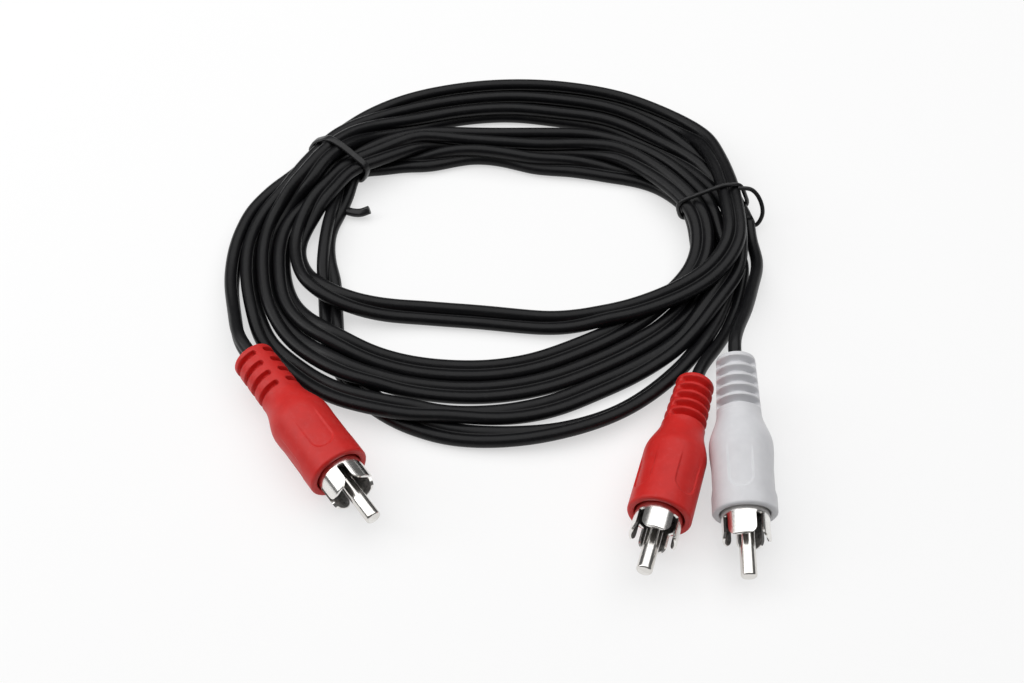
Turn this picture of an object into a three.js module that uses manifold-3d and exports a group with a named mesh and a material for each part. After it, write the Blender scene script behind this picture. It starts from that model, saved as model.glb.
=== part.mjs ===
// A phono audio Y cable, tied in a loose coil: one red plug at the start of the twin lead, and a red
// and a white plug at the ends of its two cores. Millimetres, +Z up. The origin lies on the surface
// that the cable rests on, below the middle of the whole bundle.

import * as THREE from "three";
import { mergeVertices } from "three/addons/utils/BufferGeometryUtils.js";
import Module from "manifold-3d";

const wasm = await Module();
wasm.setup();

// Driving dimensions

const CLEARANCE = 0.3;

const CORE_DIAMETER = 2.8;
const TWIN_WIDTH = 2 * CORE_DIAMETER;

const BOOT_LENGTH = 35.3;
const RELIEF_LENGTH = 13.4;
const SHOULDER_LENGTH = 7;
const BODY_DIAMETER = 13;
const BOOT_EDGE_ROUND = 0.8;
const RELIEF_FRONT_DIAMETER = 9.2;
const SINGLE_REAR_DIAMETER = 8.1;
const TWIN_REAR_DIAMETER = 9;

const SLOT_WIDTH = 1.15;
const SLOT_SPAN_DEG = 140;
const SLOT_END_MARGIN = 2;
const SINGLE_SLOT_COUNT = 5;
const TWIN_SLOT_COUNT = 4;
const SINGLE_SLOT_WALL = 1;
const TWIN_SLOT_WALL = 0.25;

const PANEL_WIDTH = 5;
const PANEL_DEPTH = 0.3;
const PANEL_LENGTH = 13;
const PANEL_TO_FRONT = 3.6;

const COLLAR_DIAMETER = 9.6;
const COLLAR_WALL = 0.55;
const COLLAR_PROJECTION = 5.6;
const COLLAR_SEAT = 6;
const COLLAR_FLOOR = 0.6;
const COLLAR_RING = 0.9;
const PETAL_COUNT = 4;
const PETAL_SLOT_WIDTH = 2.3;
const PETAL_CORNER = 1.7;

const PIN_DIAMETER = 3.2;
const PIN_PROJECTION = 13;
const PIN_TAIL = 3.3;
const PIN_TIP_ROUND = 0.45;
const CUP_DEPTH = 2;

const INSULATOR_THICKNESS = 3.8;
const INSULATOR_NECK = 1.3;
const NECK_DIAMETER = 4.8;

const JACKET_TO_FRONT = 16.3;
const CAVITY_DIAMETER = 8.6;
const MOULD_LENGTH = 3;
const CONDUCTOR_DIAMETER = 0.8;
const PIGTAIL_DIAMETER = 0.7;

const COIL_CENTRE = [-4, 26];
const COIL_HEIGHT = 5.8;
const COIL_EDGE = 1.4;
const TIE_LIFT = 1.6;
const TIED_HEIGHT = 8.4;
const TIE_REACH_DEG = 16;

const LEFT_TIE = { angle: 146, width: 1.7, thickness: 1.1 };
const RIGHT_TIE = { angle: 12, width: 1.2, thickness: 1.1 };

// Round and flat sections

const LATHE_STEPS = 24;
const CURVE_STEPS = 4;
const radians = THREE.MathUtils.degToRad;

function turned(profile, steps = LATHE_STEPS) {
  const points = profile.map(([radius, along]) => new THREE.Vector2(radius, along));
  return new THREE.LatheGeometry(points, steps).rotateX(Math.PI / 2);
}

function ring(innerRadius, outerRadius, start, end, steps) {
  const profile = [[innerRadius, start], [outerRadius, start], [outerRadius, end], [innerRadius, end]];
  return turned([...profile, profile[0]], steps);
}

function roundSection(diameter, sides) {
  const shape = new THREE.Shape();
  for (let i = 0; i < sides; i++) {
    const turn = (i + 0.5) / sides * 2 * Math.PI;
    const corner = [Math.cos(turn) * diameter / 2, Math.sin(turn) * diameter / 2];
    if (i === 0) shape.moveTo(...corner);
    else shape.lineTo(...corner);
  }
  return shape;
}

// A stadium: its long side lies along x, or along y where it is taller than wide.
function stadium(width, height) {
  const round = Math.min(width, height) / 2;
  const x = width / 2 - round;
  const y = height / 2 - round;
  const shape = new THREE.Shape();
  if (width >= height) {
    shape.absarc(x, 0, round, -Math.PI / 2, Math.PI / 2);
    shape.absarc(-x, 0, round, Math.PI / 2, 1.5 * Math.PI);
  } else {
    shape.absarc(0, y, round, 0, Math.PI);
    shape.absarc(0, -y, round, Math.PI, 2 * Math.PI);
  }
  return shape;
}

function prism(shape, depth, curveSegments = CURVE_STEPS) {
  return new THREE.ExtrudeGeometry(shape, { depth, bevelEnabled: false, curveSegments });
}

// A section carried along a smooth curve through the points. Its x side stands upright.
function swept(section, points, steps) {
  const extrudePath = new THREE.CatmullRomCurve3(points, false, "centripetal");
  return new THREE.ExtrudeGeometry(section, { steps, bevelEnabled: false, extrudePath, curveSegments: 2 });
}

// Cuts and joins

function toSolid(geometry) {
  const bare = geometry.clone();
  bare.deleteAttribute("normal");
  bare.deleteAttribute("uv");
  const merged = mergeVertices(bare, 1e-4);
  const vertProperties = new Float32Array(merged.attributes.position.array);
  const triVerts = new Uint32Array(merged.index.array);
  return new wasm.Manifold(new wasm.Mesh({ numProp: 3, vertProperties, triVerts }));
}

function toGeometry(solid) {
  const mesh = solid.getMesh();
  const geometry = new THREE.BufferGeometry();
  geometry.setAttribute("position", new THREE.BufferAttribute(new Float32Array(mesh.vertProperties), 3));
  geometry.setIndex(Array.from(mesh.triVerts));
  geometry.computeVertexNormals();
  return geometry;
}

function cut(geometry, cutters) {
  let solid = toSolid(geometry);
  for (const cutter of cutters) solid = solid.subtract(toSolid(cutter));
  return toGeometry(solid);
}

function joined(geometries) {
  return toGeometry(geometries.map(toSolid).reduce((sum, next) => sum.add(next)));
}

// Finishes

const finish = (color, roughness, metalness) => ({ color, roughness, metalness });
const RED_PVC = finish(0xcd322d, 0.45, 0);
const WHITE_PVC = finish(0xdcdcdf, 0.45, 0);
const BLACK_PVC = finish(0x101012, 0.35, 0);
const NICKEL = finish(0xc9c5bd, 0.22, 1);
const COPPER = finish(0xb46a3c, 0.4, 1);
const BLACK_INSULATOR = finish(0x1b1a19, 0.5, 0);
const CLEAR_MOULD = finish(0xe6e2d8, 0.5, 0);

function piece(name, geometry, look) {
  const mesh = new THREE.Mesh(geometry, new THREE.MeshStandardMaterial(look));
  mesh.name = name;
  return mesh;
}

// Stations along a plug, from the rear end of its boot

const bodyRadius = BODY_DIAMETER / 2;
const collarRadius = COLLAR_DIAMETER / 2;
const collarBore = collarRadius - COLLAR_WALL;
const collarRear = BOOT_LENGTH - COLLAR_SEAT;
const collarFront = BOOT_LENGTH + COLLAR_PROJECTION;
const jacketEnd = BOOT_LENGTH - JACKET_TO_FRONT;
const cavityStart = jacketEnd + CLEARANCE;
const cavityRadius = CAVITY_DIAMETER / 2;
const cavityEnd = collarRear - CLEARANCE;
const insulatorStart = collarRear + COLLAR_FLOOR + CLEARANCE;
const insulatorEnd = insulatorStart + INSULATOR_THICKNESS;
const neckStart = collarRear - INSULATOR_NECK;
const pinRear = neckStart - PIN_TAIL;
const pinTip = BOOT_LENGTH + PIN_PROJECTION;
const pinRadius = PIN_DIAMETER / 2;

// The moulded boot: a slotted strain relief, a shoulder and a gripped body, hollow for what it holds.
function boot(plug) {
  const rear = plug.rearDiameter / 2;
  const relief = RELIEF_FRONT_DIAMETER / 2;
  const round = BOOT_EDGE_ROUND;
  const shoulderEnd = RELIEF_LENGTH + SHOULDER_LENGTH;
  const pocket = collarRadius + CLEARANCE;
  const boreRadius = CORE_DIAMETER / 2 + CLEARANCE;
  const profile = [
    [boreRadius, 0],
    [rear - round, 0],
    [rear - 0.3 * round, 0.3 * round],
    [rear, round],
    [relief, RELIEF_LENGTH],
    [relief + 0.25 * (bodyRadius - relief), RELIEF_LENGTH + 0.2 * SHOULDER_LENGTH],
    [relief + 0.75 * (bodyRadius - relief), RELIEF_LENGTH + 0.6 * SHOULDER_LENGTH],
    [bodyRadius, shoulderEnd],
    [bodyRadius, BOOT_LENGTH - round],
    [bodyRadius - 0.3 * round, BOOT_LENGTH - 0.3 * round],
    [bodyRadius - round, BOOT_LENGTH],
    [pocket, BOOT_LENGTH],
    [pocket, cavityEnd],
    [cavityRadius, cavityEnd],
    [cavityRadius, cavityStart],
    [boreRadius, cavityStart],
    [boreRadius, 0],
  ];
  const cutters = [...slotCutters(plug), ...panelCutters()];
  if (plug.cores === 2) {
    const opening = prism(stadium(2 * boreRadius, TWIN_WIDTH + 2 * CLEARANCE), cavityStart + 2, 6);
    cutters.push(opening.translate(0, 0, -1).rotateZ(-radians(plug.bootTurn)));
  }
  return cut(turned(profile), cutters);
}

// Pairs of slots on opposite sides of the strain relief, with a rib left between them on each side.
function slotCutters(plug) {
  const room = RELIEF_LENGTH - 2 * SLOT_END_MARGIN;
  const half = radians(SLOT_SPAN_DEG / 2);
  const floor = plug.cores * CORE_DIAMETER / 2 + CLEARANCE + plug.slotWall;
  const shape = new THREE.Shape();
  shape.absarc(0, 0, BODY_DIAMETER, -half, half, false);
  shape.absarc(0, 0, floor, half, -half, true);
  const cutters = [];
  for (let i = 0; i < plug.slots; i++) {
    const along = SLOT_END_MARGIN + room * i / (plug.slots - 1);
    for (const side of [0, 180]) {
      const cutter = prism(shape, SLOT_WIDTH, 5).translate(0, 0, along - SLOT_WIDTH / 2);
      cutters.push(cutter.rotateZ(radians(plug.slotTurn + side)));
    }
  }
  return cutters;
}

// Four shallow grip panels with rounded front ends, all of one depth below the round body.
function panelCutters() {
  const outline = prism(stadium(PANEL_WIDTH, PANEL_LENGTH), BODY_DIAMETER, 5).rotateX(-Math.PI / 2);
  const middle = BOOT_LENGTH - PANEL_TO_FRONT - PANEL_LENGTH / 2;
  const floor = bodyRadius - PANEL_DEPTH;
  const core = turned([[0, 0], [floor, 0], [floor, BOOT_LENGTH], [0, BOOT_LENGTH]]);
  const panel = cut(outline.translate(0, 0, middle), [core]);
  return [0, 90, 180, 270].map((turn) => panel.clone().rotateZ(radians(turn)));
}

// The ground shell: a turned cup whose collar is split into sprung petals.
function groundShell() {
  const neckHole = NECK_DIAMETER / 2 + CLEARANCE;
  const lip = COLLAR_WALL / 2;
  const profile = [
    [neckHole, collarRear],
    [collarRadius, collarRear],
    [collarRadius, collarFront - lip],
    [collarRadius - lip, collarFront],
    [collarBore, collarFront],
    [collarBore, collarRear + COLLAR_FLOOR],
    [neckHole, collarRear + COLLAR_FLOOR],
    [neckHole, collarRear],
  ];
  const half = PETAL_SLOT_WIDTH / 2;
  const mouth = half + PETAL_CORNER;
  const beyond = collarFront + 1;
  const base = BOOT_LENGTH + COLLAR_RING;
  const shape = new THREE.Shape();
  shape.moveTo(-mouth, beyond);
  shape.lineTo(-mouth, collarFront);
  shape.quadraticCurveTo(-half, collarFront, -half, collarFront - PETAL_CORNER);
  shape.lineTo(-half, base);
  shape.lineTo(half, base);
  shape.lineTo(half, collarFront - PETAL_CORNER);
  shape.quadraticCurveTo(half, collarFront, mouth, collarFront);
  shape.lineTo(mouth, beyond);
  const slot = prism(shape, COLLAR_DIAMETER, 3).rotateX(Math.PI / 2).translate(0, COLLAR_DIAMETER + 1, 0);
  const cutters = [];
  for (let i = 0; i < PETAL_COUNT; i++) {
    cutters.push(slot.clone().rotateZ(2 * Math.PI * (i + 0.5) / PETAL_COUNT));
  }
  return cut(turned(profile, 32), cutters);
}

function insulator() {
  const bore = pinRadius + CLEARANCE;
  const disc = collarBore - CLEARANCE;
  const neck = NECK_DIAMETER / 2;
  const profile = [
    [bore, neckStart],
    [neck, neckStart],
    [neck, insulatorStart],
    [disc, insulatorStart],
    [disc, insulatorEnd],
    [bore, insulatorEnd],
    [bore, neckStart],
  ];
  return turned(profile, 24);
}

function centrePin(plug) {
  const cup = cupRadius(plug);
  const tip = PIN_TIP_ROUND;
  const profile = [
    [cup, pinRear],
    [pinRadius, pinRear],
    [pinRadius, pinTip - tip],
    [pinRadius - 0.15 * tip, pinTip - 0.45 * tip],
    [pinRadius - 0.5 * tip, pinTip - 0.1 * tip],
    [0, pinTip],
  ];
  return turned([[0, pinRear + CUP_DEPTH], [cup, pinRear + CUP_DEPTH], ...profile], 20);
}

// Where the conductors of a plug stand side by side in the pin's solder cup.
function cupOffset(plug) {
  return plug.cores === 2 ? (CONDUCTOR_DIAMETER + CLEARANCE) / 2 : 0;
}

function cupRadius(plug) {
  return cupOffset(plug) + CONDUCTOR_DIAMETER / 2 + CLEARANCE;
}

function innerMould(plug) {
  const bore = plug.cores * CORE_DIAMETER / 2 + CLEARANCE;
  const start = cavityStart + CLEARANCE;
  return ring(bore, cavityRadius - CLEARANCE, start, start + MOULD_LENGTH, 24);
}

// A conductor from the end of its core into the pin's solder cup. The cores stand one above the other.
function conductor(plug, side) {
  const core = side * CORE_DIAMETER / 2;
  const cup = side * cupOffset(plug);
  const start = cavityStart;
  const points = [
    new THREE.Vector3(0, core, start),
    new THREE.Vector3(0, core + 0.2 * (cup - core), start + 0.25 * (pinRear - start)),
    new THREE.Vector3(0, cup, pinRear - 1),
    new THREE.Vector3(0, cup, pinRear + CUP_DEPTH - CLEARANCE),
  ];
  return swept(roundSection(CONDUCTOR_DIAMETER, 8), points, 8);
}

// The twisted shield of a core, from the jacket's end out to the back of the ground shell.
function pigtail(plug, side) {
  const seat = cavityRadius - CLEARANCE - PIGTAIL_DIAMETER / 2;
  const leave = (plug.cores * CORE_DIAMETER - PIGTAIL_DIAMETER) / 2;
  const mouldEnd = cavityStart + CLEARANCE + MOULD_LENGTH;
  const at = (radius, along) => new THREE.Vector3(0, side * radius, along);
  const points = [
    at(leave, cavityStart),
    at(leave, 0.5 * (jacketEnd + mouldEnd)),
    at(leave, mouldEnd),
    at(0.4 * leave + 0.6 * seat, 0.3 * mouldEnd + 0.7 * pinRear),
    at(seat, 0.7 * pinRear + 0.3 * collarRear),
    at(seat, collarRear - CLEARANCE),
  ];
  return swept(roundSection(PIGTAIL_DIAMETER, 6), points, 10);
}

// Where each plug lies: the middle of its boot's front rim, its heading from -Y towards +X, the angle by
// which it points down, and how far its boot, slots and shell are turned about its axis.
const PLUGS = [
  {
    name: "left_red", look: RED_PVC, cores: 2,
    slots: TWIN_SLOT_COUNT, slotWall: TWIN_SLOT_WALL, rearDiameter: TWIN_REAR_DIAMETER,
    front: [-34.7, -38.1, 6.5], heading: 35.8, dip: 0, bootTurn: -9, slotTurn: 0, shellTurn: 46,
  },
  {
    name: "right_red", look: RED_PVC, cores: 1,
    slots: SINGLE_SLOT_COUNT, slotWall: SINGLE_SLOT_WALL, rearDiameter: SINGLE_REAR_DIAMETER,
    front: [28.8, -48.9, 7.6], heading: -16.6, dip: -4, bootTurn: -35, slotTurn: 90, shellTurn: 0,
  },
  {
    name: "right_white", look: WHITE_PVC, cores: 1,
    slots: SINGLE_SLOT_COUNT, slotWall: SINGLE_SLOT_WALL, rearDiameter: SINGLE_REAR_DIAMETER,
    front: [46, -47.9, 6.6], heading: -1.4, dip: 6.8, bootTurn: 12, slotTurn: 90, shellTurn: 19,
  },
];

// A plug's frame: z runs forward along its axis from the boot's rear end, x to its side and y up.
function plugFrame(plug) {
  const heading = radians(plug.heading);
  const dip = radians(plug.dip);
  const level = Math.cos(dip);
  const forward = new THREE.Vector3(Math.sin(heading) * level, -Math.cos(heading) * level, -Math.sin(dip));
  const side = new THREE.Vector3(Math.cos(heading), Math.sin(heading), 0);
  const up = new THREE.Vector3().crossVectors(forward, side);
  const rear = new THREE.Vector3(...plug.front).addScaledVector(forward, -BOOT_LENGTH);
  return new THREE.Matrix4().makeBasis(side, up, forward).setPosition(rear);
}

const onAxis = (plug, along) => new THREE.Vector3(0, 0, along).applyMatrix4(plugFrame(plug));

function plugAssembly(plug) {
  const group = new THREE.Group();
  group.applyMatrix4(plugFrame(plug));
  const outer = new THREE.Group();
  outer.rotation.z = radians(plug.bootTurn);
  outer.add(piece(`${plug.name}_boot`, boot(plug), plug.look));
  const inner = new THREE.Group();
  inner.rotation.z = radians(plug.shellTurn);
  inner.add(piece(`${plug.name}_ground_shell`, groundShell(), NICKEL));
  inner.add(piece(`${plug.name}_centre_pin`, centrePin(plug), NICKEL));
  inner.add(piece(`${plug.name}_insulator`, insulator(), BLACK_INSULATOR));
  group.add(outer, inner);
  group.add(piece(`${plug.name}_inner_mould`, innerMould(plug), CLEAR_MOULD));
  if (plug.cores === 2) {
    for (const [place, side] of [["upper", 1], ["lower", -1]]) {
      group.add(piece(`${plug.name}_${place}_conductor`, conductor(plug, side), COPPER));
      group.add(piece(`${plug.name}_${place}_shield_tail`, pigtail(plug, side), COPPER));
    }
  } else {
    group.add(piece(`${plug.name}_conductor`, conductor(plug, 0), COPPER));
    group.add(piece(`${plug.name}_shield_tail`, pigtail(plug, -1), COPPER));
  }
  return group;
}

// The coil of twin lead: one closed body of its outer shape, seen from above as an oval ring. Each row
// is an angle about the coil's centre, from +X towards +Y, and the radii of its inner and outer edges.
const COIL_OUTLINE = [
  [3, 45.8, 53.6], [9, 45.6, 59.8], [15, 45.4, 59.8], [30, 40.8, 60.3], [50, 33.5, 58.3],
  [70, 28.6, 56], [90, 26.6, 54.2], [110, 28, 53.6], [130, 33, 52.6], [142, 38.2, 51.6],
  [150, 38.2, 51.4], [156, 38, 50.2], [162, 37.8, 51.4], [175, 36.8, 55.6], [190, 36.6, 57.4],
  [204, 36, 57.2], [215, 30.5, 56.6], [225, 24.5, 56], [240, 18.8, 55], [262, 16.8, 54],
  [285, 17.8, 54.2], [305, 23, 54.6], [320, 28.3, 54.4], [338, 38.6, 53.6], [352, 44, 53.4],
];
const COIL_STEPS = 90;

// Lens-shaped openings between the turns: the two corners, and points along the inner and outer sides.
const COIL_OPENINGS = [
  {
    corners: [[219, 39.5], [311, 33]],
    inner: [[240, 26.5], [264, 22.8], [288, 24]],
    outer: [[242, 36], [265, 32.6], [288, 32]],
  },
  { corners: [[104, 40.8], [66, 42]], inner: [[85, 36.2]], outer: [[85, 44.2]] },
  { corners: [[188, 47], [212, 43.5]], inner: [[200, 43]], outer: [[200, 47.2]] },
];

const polar = (angle, radius) => [
  COIL_CENTRE[0] + radius * Math.cos(radians(angle)),
  COIL_CENTRE[1] + radius * Math.sin(radians(angle)),
];

function coilEdges(angle) {
  const count = COIL_OUTLINE.length;
  const turnedOn = ((angle - COIL_OUTLINE[0][0]) % 360 + 360) % 360 + COIL_OUTLINE[0][0];
  let i = count - 1;
  while (COIL_OUTLINE[i][0] > turnedOn) i--;
  const [start, inner, outer] = COIL_OUTLINE[i];
  const [next, nextInner, nextOuter] = COIL_OUTLINE[(i + 1) % count];
  const share = (turnedOn - start) / (((next - start) % 360 + 360) % 360);
  return [THREE.MathUtils.lerp(inner, nextInner, share), THREE.MathUtils.lerp(outer, nextOuter, share)];
}

// 1 under a tie, where the turns are gathered into a higher bunch, and 0 away from both ties.
function gathered(angle) {
  const offsets = [LEFT_TIE, RIGHT_TIE].map((tie) => Math.abs(((angle - tie.angle + 540) % 360) - 180));
  return 1 - THREE.MathUtils.smoothstep(Math.min(...offsets), TIE_REACH_DEG / 4, TIE_REACH_DEG);
}

function coilHeights(angle) {
  const share = gathered(angle);
  const bottom = TIE_LIFT * share;
  return [bottom, THREE.MathUtils.lerp(COIL_HEIGHT, TIE_LIFT + TIED_HEIGHT, share)];
}

function coilBody() {
  const vertices = [];
  const faces = [];
  const corner = [[1, 0], [0, 1]];
  for (let step = 0; step < COIL_STEPS; step++) {
    const angle = 360 * step / COIL_STEPS;
    const [inner, outer] = coilEdges(angle);
    const [bottom, top] = coilHeights(angle);
    const around = [
      ...corner.map(([u, v]) => [outer - u * COIL_EDGE, bottom + v * COIL_EDGE]),
      ...corner.map(([u, v]) => [outer - v * COIL_EDGE, top - u * COIL_EDGE]),
      ...corner.map(([u, v]) => [inner + u * COIL_EDGE, top - v * COIL_EDGE]),
      ...corner.map(([u, v]) => [inner + v * COIL_EDGE, bottom + u * COIL_EDGE]),
    ];
    for (const [radius, height] of around) vertices.push(...polar(angle, radius), height);
  }
  const sides = 4 * corner.length;
  for (let step = 0; step < COIL_STEPS; step++) {
    const here = step * sides;
    const next = ((step + 1) % COIL_STEPS) * sides;
    for (let i = 0; i < sides; i++) {
      const j = (i + 1) % sides;
      faces.push(here + i, next + i, next + j, here + i, next + j, here + j);
    }
  }
  const geometry = new THREE.BufferGeometry();
  geometry.setAttribute("position", new THREE.Float32BufferAttribute(vertices, 3));
  geometry.setIndex(faces);
  return cut(geometry, COIL_OPENINGS.map(openingCutter));
}

function openingCutter({ corners, inner, outer }) {
  const [start, end] = corners;
  const way = (points) => new THREE.SplineCurve(points.map((p) => new THREE.Vector2(...polar(...p))));
  const out = way([start, ...outer, end]).getPoints(10);
  const back = way([end, ...[...inner].reverse(), start]).getPoints(10);
  const shape = new THREE.Shape([...out, ...back.slice(1, -1)]);
  return prism(shape, TIE_LIFT + TIED_HEIGHT + 2).translate(0, 0, -1);
}

// Leads that leave the coil for the plugs. Their points are chosen by hand from the coil's side on.
const TWIN_LEAD_POINTS = [
  [-52.5, 45.6, 2.9], [-59.5, 35.8, 2.9], [-62.5, 26, 2.9], [-62.7, 15.6, 3], [-61.4, 6.2, 3.9],
];
const RED_LEAD_POINTS = [
  [51.4, 28.7, 1.5], [52.2, 21.1, 1.7], [49.9, 13, 1.8], [46.6, 4.5, 2.1], [43.3, -3.5, 3.4],
];
const WHITE_LEAD_POINTS = [
  [55.3, 28.9, 2.4], [55.8, 19.7, 3.3], [53.6, 11.2, 5.5], [50.6, 1.6, 8.4], [48.2, -4.4, 10.2],
];
const STRAIGHT_OUT = 4;

function lead(section, plug, points, steps) {
  const inside = [-STRAIGHT_OUT, 0, jacketEnd / 2, jacketEnd].map((along) => onAxis(plug, along));
  return swept(section, [...points.map((p) => new THREE.Vector3(...p)), ...inside], steps);
}

// A wire tie: a flat loop round the gathered turns, standing across them.
function tieLoop({ angle, width, thickness }) {
  const [inner, outer] = coilEdges(angle);
  const [bottom, top] = coilHeights(angle);
  const loop = (grow) => {
    const x = (outer - inner) / 2 + grow;
    const y = (top - bottom) / 2 + grow;
    const round = COIL_EDGE * 0.6 + grow;
    const shape = new THREE.Shape();
    shape.absarc(x - round, y - round, round, 0, Math.PI / 2);
    shape.absarc(round - x, y - round, round, Math.PI / 2, Math.PI);
    shape.absarc(round - x, round - y, round, Math.PI, 1.5 * Math.PI);
    shape.absarc(x - round, round - y, round, 1.5 * Math.PI, 2 * Math.PI);
    return shape;
  };
  const shape = loop(CLEARANCE + thickness);
  shape.holes.push(loop(CLEARANCE));
  const outward = new THREE.Vector3(Math.cos(radians(angle)), Math.sin(radians(angle)), 0);
  const upward = new THREE.Vector3(0, 0, 1);
  const frame = new THREE.Matrix4().makeBasis(outward, upward, outward.clone().cross(upward));
  frame.setPosition(...polar(angle, (inner + outer) / 2), (bottom + top) / 2);
  return prism(shape, width).translate(0, 0, -width / 2).applyMatrix4(frame);
}

const LEFT_TIE_TAIL = [
  [-34.6, 46.4, 1.5], [-36.2, 42, 1.6], [-36.9, 39, 1.7], [-35.6, 37.1, 1.9], [-33.4, 36.4, 2],
];
const LEFT_TAIL_DIAMETER = 2.2;
const RIGHT_TIE_LOOP = [
  [55.4, 38.6, 9.6], [58.3, 39.4, 8.9], [60.6, 38.2, 6.2],
  [60.4, 36.6, 3], [57.8, 37.4, 1.3], [55.2, 38.5, 1.1],
];

function tieEnd(points, diameter, steps) {
  return swept(roundSection(diameter, 8), points.map((p) => new THREE.Vector3(...p)), steps);
}

// Assembly

const [LEFT, RIGHT_RED, RIGHT_WHITE] = PLUGS;
const core = roundSection(CORE_DIAMETER, 8);
const twin = stadium(TWIN_WIDTH, CORE_DIAMETER);
const cable = new THREE.Group();
cable.add(piece("cable_coil", coilBody(), BLACK_PVC));
cable.add(piece("twin_lead", lead(twin, LEFT, TWIN_LEAD_POINTS, 16), BLACK_PVC));
cable.add(piece("red_lead", lead(core, RIGHT_RED, RED_LEAD_POINTS, 16), BLACK_PVC));
cable.add(piece("white_lead", lead(core, RIGHT_WHITE, WHITE_LEAD_POINTS, 16), BLACK_PVC));
const leftTail = tieEnd(LEFT_TIE_TAIL, LEFT_TAIL_DIAMETER, 10);
const rightLoop = tieEnd(RIGHT_TIE_LOOP, RIGHT_TIE.width, 14);
cable.add(piece("left_tie", joined([tieLoop(LEFT_TIE), leftTail]), BLACK_PVC));
cable.add(piece("right_tie", joined([tieLoop(RIGHT_TIE), rightLoop]), BLACK_PVC));
for (const plug of PLUGS) cable.add(plugAssembly(plug));

// The origin goes below the middle of the whole bundle.
const middle = new THREE.Box3().setFromObject(cable, true).getCenter(new THREE.Vector3());
cable.position.set(-middle.x, -middle.y, 0);

export default cable;
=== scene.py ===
# %% [markdown]
# # Phono audio Y cable
# A lead like this carries sound between two pieces of home audio. It lies as it comes out of its bag: a
# coil of black twin lead, held by two ties. One end has a red plug. At the other end the twin parts into
# two single leads, with a red and a white plug.
#
# The lesson makes the pieces in the order in which they depend on each other: the places of the plugs, the
# course of the lead, the moulded and turned pieces of the plugs, the ties, and then the finishes. The plain
# solids of the CAD model come with the frame, and each piece made here takes the place of one of them.

# %% Load the frame
import math

import bmesh
import bpy
import numpy as np
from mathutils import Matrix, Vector


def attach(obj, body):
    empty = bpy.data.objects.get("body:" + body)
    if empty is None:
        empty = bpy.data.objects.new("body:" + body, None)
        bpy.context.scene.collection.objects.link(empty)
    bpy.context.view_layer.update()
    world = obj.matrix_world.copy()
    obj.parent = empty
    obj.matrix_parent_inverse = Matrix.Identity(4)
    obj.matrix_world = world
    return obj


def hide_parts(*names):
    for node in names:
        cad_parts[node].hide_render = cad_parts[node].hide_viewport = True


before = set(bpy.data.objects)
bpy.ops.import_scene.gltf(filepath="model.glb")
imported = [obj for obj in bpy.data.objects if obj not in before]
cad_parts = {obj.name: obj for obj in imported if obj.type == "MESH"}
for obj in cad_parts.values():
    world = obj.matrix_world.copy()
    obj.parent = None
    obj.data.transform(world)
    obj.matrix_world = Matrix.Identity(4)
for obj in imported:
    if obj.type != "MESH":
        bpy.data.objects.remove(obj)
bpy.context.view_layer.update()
scene = bpy.context.scene

# %% [markdown]
# ## One set of units
# Blender counts in metres, and a core of 0.0028 m is hard to read. So everything is worked out in
# millimetres, about the point that the camera looks at, and `metres` turns finished points into the frame's
# units and place. Its origin is on the floor, below the middle of the whole part. The objects could be
# scaled afterwards instead, but a scaled object upsets bevels and the sizes of noise.
#
# CORE is the width of one round core, and the twin is two of them side by side. CLEARANCE is the room that
# a core has in the bore of a boot.

# %% Units and main sizes
SHIFT = np.array([1.4191, -9.3767, 0.0])
CORE = 2.8
HALF = CORE / 2
CLEARANCE = 0.3


def metres(points):
    return (np.asarray(points, float) + SHIFT) / 1000


def unit(v):
    return v / np.linalg.norm(v, axis=-1, keepdims=True)


print("core", CORE, "mm, twin", 2 * CORE, "mm")

# %% [markdown]
# ## Camera
# The photo is taken from the front, from about 31 cm away, looking down at 53 degrees. The place was found
# by fitting the plugs and the outline of the coil. A camera could be aimed by a constraint, but a fixed
# place and turn are simpler, and `lane_point` further down needs the place as a number.

# %% Camera
CAMERA_AT = np.array([0.0, -189.27, 251.17])
camera_data = bpy.data.cameras.new("camera")
camera_data.lens = 50
camera_data.sensor_width = 36
camera_data.clip_start = 0.01
camera = bpy.data.objects.new("camera", camera_data)
camera.location = metres(CAMERA_AT)
camera.rotation_euler = (math.radians(37), 0, 0)
scene.collection.objects.link(camera)
scene.camera = camera
print("camera at", [round(c, 4) for c in camera.location])

# %% [markdown]
# ## Where the plugs lie
# A plug is a straight stack of round pieces, so it is easiest to draw along one axis. Each plug has its own
# frame: z runs forward along its axis from the boot's rear end, x lies to its side and y points up.
# `heading` and `dip` turn that frame, and `front` is where the boot ends and bare metal starts. Parent
# objects could turn the pieces too, but here the cores have to keep clear of the boots, and that is easier
# with all points in one space.
#
# `boot_turn`, `slot_turn` and `shell_turn` roll the boot, its slots and the collar about the axis, as each
# lies in the photo. JACKET_END is how far into the boot the lead's jacket reaches.

# %% Plug frames
BOOT_LENGTH = 35.3
JACKET_END = 19.0
PLUGS = {
    "left_red": dict(front=(-34.7, -38.1, 6.5), heading=35.8, dip=0, boot_turn=0, slot_turn=-16,
                     shell_turn=46, cores=2, slots=4, slot_floor=3.35, rear=9.0),
    "right_red": dict(front=(28.8, -48.9, 7.6), heading=-16.6, dip=-4, boot_turn=-35, slot_turn=90,
                      shell_turn=0, cores=1, slots=5, slot_floor=2.7, rear=8.1),
    "right_white": dict(front=(46, -47.9, 6.6), heading=-1.4, dip=6.8, boot_turn=12, slot_turn=90,
                        shell_turn=19, cores=1, slots=5, slot_floor=2.7, rear=8.1),
}
for plug in PLUGS.values():
    heading, dip = math.radians(plug["heading"]), math.radians(plug["dip"])
    forward = np.array([math.sin(heading) * math.cos(dip),
                        -math.cos(heading) * math.cos(dip), -math.sin(dip)])
    side = np.array([math.cos(heading), math.sin(heading), 0])
    plug["axes"] = np.stack([side, np.cross(forward, side), forward])
    plug["at"] = np.array(plug["front"]) - BOOT_LENGTH * forward


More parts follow.
